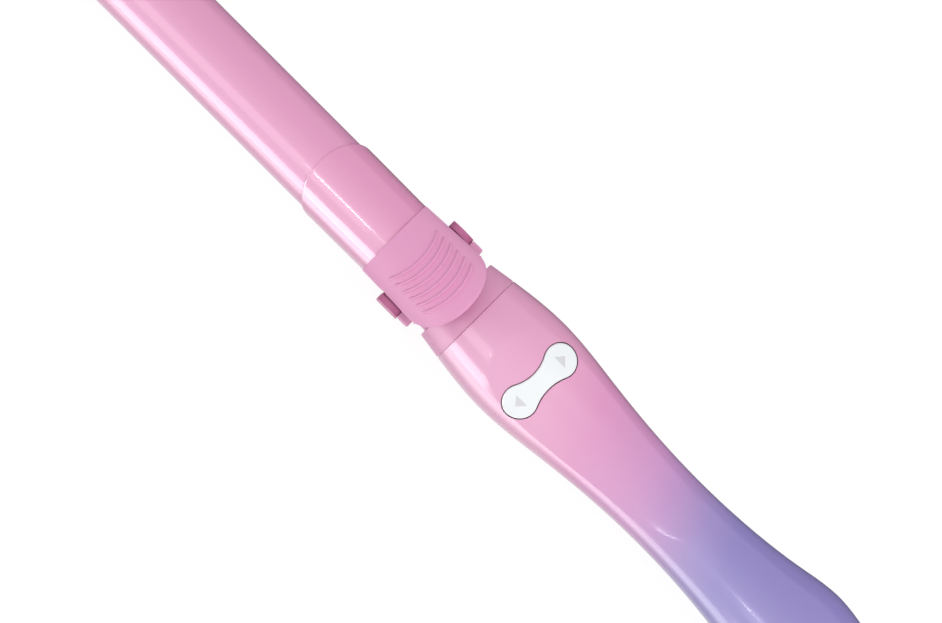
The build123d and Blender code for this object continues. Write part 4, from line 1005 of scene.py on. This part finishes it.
def over_crown(y, rise):
    """The height of the crown across the rocker, raised by rise."""
    return np.sqrt((CROWN_R + rise) ** 2 - y**2) - CROWN_R


angle = np.linspace(0, 2 * math.pi, CAP_COLUMNS, endpoint=False)
reach_now = bone_reach(angle)
shrink = np.concatenate([
    [1.0, 1.0], 1 - np.linspace(0, EDGE_SHARE, 22)[1:], np.linspace(1 - EDGE_SHARE, 0.0, 26)[1:],
])[:, None]
x, y = shrink * reach_now * np.cos(angle), shrink * reach_now * np.sin(angle)
depth = np.clip(bone_depth(x, y), 0, EDGE_R)
edge_drop = EDGE_R - np.sqrt(np.clip(EDGE_R**2 - (EDGE_R - depth) ** 2, 0, None))
bottom = over_crown(y, -CAP_DEPTH)
top = over_crown(y, PROUD) - edge_drop
top[0] = bottom[0]
under = np.stack([x, y, bottom], axis=-1)[:0:-1]
points = np.concatenate([under[:-1], np.stack([x, y, top], axis=-1)])
piece(
    "rocker_cap", on_face(points), quads(len(points), CAP_COLUMNS, False, True), white_abs, "rocker",
    ["rocker_button"], sharp=50,
)

# %% [markdown]
# Under its waist the button has a rib with an eye for the pin, and under each lobe a plunger that reaches
# down to its switch.

# %% Rocker rib and plungers
PIN_BORE, ROCKER_RIB_HALF, ROCKER_RIB_TOP, ROCKER_RIB_REACH = 0.85, 1.8, 2.6, 2.6
rib_ends = [(-ROCKER_RIB_REACH, ROCKER_RIB_TOP), (ROCKER_RIB_REACH, ROCKER_RIB_TOP)]
rib, rib_faces = eye_plate(PIN_BORE, ROCKER_RIB_HALF, rib_ends)
points = on_face(rib - np.array([0, 0, PIVOT_DEPTH]))
piece("rocker_rib", points, rib_faces, white_abs, "rocker")
PLUNGER_LOW, PLUNGER_HIGH, PLUNGER_R = -5.5, -3.2, 1.5
plunger = rounded([
    (PLUNGER_LOW, 0.0, 0), (PLUNGER_LOW, PLUNGER_R, 0.2),
    (PLUNGER_HIGH, PLUNGER_R, 0.1), (PLUNGER_HIGH, 0.0, 0),
])
plunger_faces = quads(len(plunger), 48, False, True)
for side_name, side in SIDES:
    points = on_face(turned(plunger, 48, (0, side * LOBE_Y, 0), True))
    piece(f"rocker_plunger_{side_name}", points, plunger_faces, white_abs, "rocker")

# %% [markdown]
# The arrows are pad printed: a film of ink a few hundredths of a millimetre thick that follows the cap. So
# each is a small triangular grid laid on the same crown, just above it.

# %% Printed arrows
ARROW_BASE, ARROW_HEIGHT = 5.9, 3.2
ARROW_Y = 10.0
INK = 0.03
u, v = np.meshgrid(np.linspace(0, 1, 9), np.linspace(-1, 1, 17), indexing="ij")
x = v * (1 - u) * ARROW_BASE / 2
for side_name, side in SIDES:
    y = side * (ARROW_Y + u * ARROW_HEIGHT)
    points = on_face(np.stack([x, y, over_crown(y, PROUD + INK)], axis=-1))
    piece(
        f"arrow_print_{side_name}", points, quads(*u.shape), grey_ink, "rocker",
        closed=False,
    )

# %% [markdown]
# ## Tail
#
# The tail closes the handle with a rounded cap in lavender. The power button sits before it on the front,
# with a small light pipe; the cord's swivel bush turns inside the cap.

# %% Tail cap, power button and swivel
TAIL_END = extent("tail_cap")[1][0]
TAIL_R = float(body_radius(np.array([SHELL_END]))[0])
TAIL_SPIGOT, TAIL_TAPER, TAIL_ROUND = 4.0, 2.0, 8.0
SWIVEL_START = extent("cord_swivel")[0][0]
SWIVEL_R, SWIVEL_BORE = 8.0, 3.6
FLANGE_R, FLANGE_WIDTH = 9.6, 2.0
spigot_start = SHELL_END - TAIL_SPIGOT
spigot_r = TAIL_R - WALL - FIT
flange_end = SWIVEL_START + FLANGE_WIDTH
lathe("tail_end_cap", [
    (spigot_start, SWIVEL_R + FIT, 0.1), (spigot_start, spigot_r, 0.3), (SHELL_END, spigot_r, 0.1),
    (SHELL_END, TAIL_R, 0.15), (TAIL_END, TAIL_R - TAIL_TAPER, TAIL_ROUND), (TAIL_END, SWIVEL_R + FIT, 0.6),
], lacquer, "handle", ["tail_cap"], steps=12)
lathe("cord_bush", [
    (SWIVEL_START, SWIVEL_BORE, 0.2), (SWIVEL_START, FLANGE_R, 0.2), (flange_end, FLANGE_R, 0.1),
    (flange_end, SWIVEL_R, 0.1), (TAIL_END, SWIVEL_R, 0.7), (TAIL_END, SWIVEL_BORE, 0.5),
], lavender_gloss, "swivel", ["cord_swivel"], around=96)
key_low, key_high = extent("power_button")
KEY_FOOT, KEY_TOP = key_low[2], key_high[2]
KEY_FLANGE, KEY_ROUND, KEY_DISH = 1.0, 0.5, 0.28
flange_top, flange_r = KEY_FOOT + KEY_FLANGE, POWER_R + KEY_FLANGE
outline = rounded([
    (KEY_FOOT, 0.0, 0), (KEY_FOOT, flange_r, 0.1), (flange_top, flange_r, 0.1), (flange_top, POWER_R, 0.1),
    (KEY_TOP, POWER_R, KEY_ROUND),
], 6)
dish = np.linspace(POWER_R - KEY_ROUND - 0.05, 0.0, 12)
sunk = KEY_TOP - KEY_DISH * (1 - (dish / (POWER_R - KEY_ROUND)) ** 2)
outline = np.concatenate([outline, np.stack([sunk, dish], axis=-1)])
piece(
    "power_key_cap", turned(outline, 96, (POWER_X, 0, 0), True), quads(len(outline), 96, False, True),
    white_abs, "power_key", ["power_button"],
)

# %% [markdown]
# ## Everything carried over
#
# The rest of the construction stays as it came: gears, motor, boards and heater are exact already. They
# arrive as loose triangles, so a Weld joins them and an Edge Split keeps real edges crisp while curved
# faces shade smoothly. Each record slot gets its own finish, so that an opened handle looks right as well.

# %% Finishes for inner pieces
inner = {
    "pink_enamel": enamel,
    "pink_gloss_plastic": gloss_pink,
    "pink_satin_plastic": soft_pink,
    "dark_pink_plastic": dark_pink,
    "handle_front": lacquer,
    "handle_back": lacquer,
    "lavender_plastic": lavender_gloss,
    "white_plastic": white_abs,
    "aluminium": finish("extruded_aluminium", "#C8CACD", 0.32, 0.15, 3.0, metallic=1.0),
    "ceramic": finish("sintered_alumina", "#EAE7DC", 0.6, 0.12, 5.0, ior=1.76),
    "steel": finish("turned_steel", "#A9A9AC", 0.28, 0.1, 2.0, metallic=1.0),
    "zinc_steel": finish("zinc_plated_steel", "#B9BABF", 0.34, 0.2, 2.0, metallic=1.0),
    "brass": finish("turned_brass", "#D5B064", 0.26, 0.1, 2.0, metallic=1.0),
    "bronze": finish("sintered_bronze", "#A97B4F", 0.42, 0.08, 6.0, metallic=1.0),
    "carbon": finish("pressed_carbon", "#1B1B1D", 0.55, 0.08, 6.0, ior=1.6),
    "acetal": finish("natural_acetal", "#ECEAE0", 0.36, 0.3, 3.0, ior=1.48),
    "black_plastic": finish("black_pbt", "#141416", 0.45, 0.25, 5.0, ior=1.57),
    "board": finish("glass_epoxy_board", "#2E6B4A", 0.4, 0.45, 4.0, ior=1.55),
    "light_pipe": finish("clear_polycarbonate", "#F4F6F8", 0.12, 0.8, 1.0, ior=1.585),
    "fibre": finish("glass_fibre_sleeve", "#D8D4C8", 0.7, 0.4, 20.0, ior=1.5),
}

# %% Dress the carried-over nodes
for entry in frame["record"]["subparts"]:
    node_name, slot_name = entry["node"], entry["material_slot"]
    carried = frame["nodes"][node_name]
    carried.data.materials.clear()
    carried.data.materials.append(inner[slot_name])
    smooth(carried.data)
    modify(carried, "WELD", merge_threshold=MERGE)
    modify(carried, "EDGE_SPLIT", split_angle=HARD_EDGE)
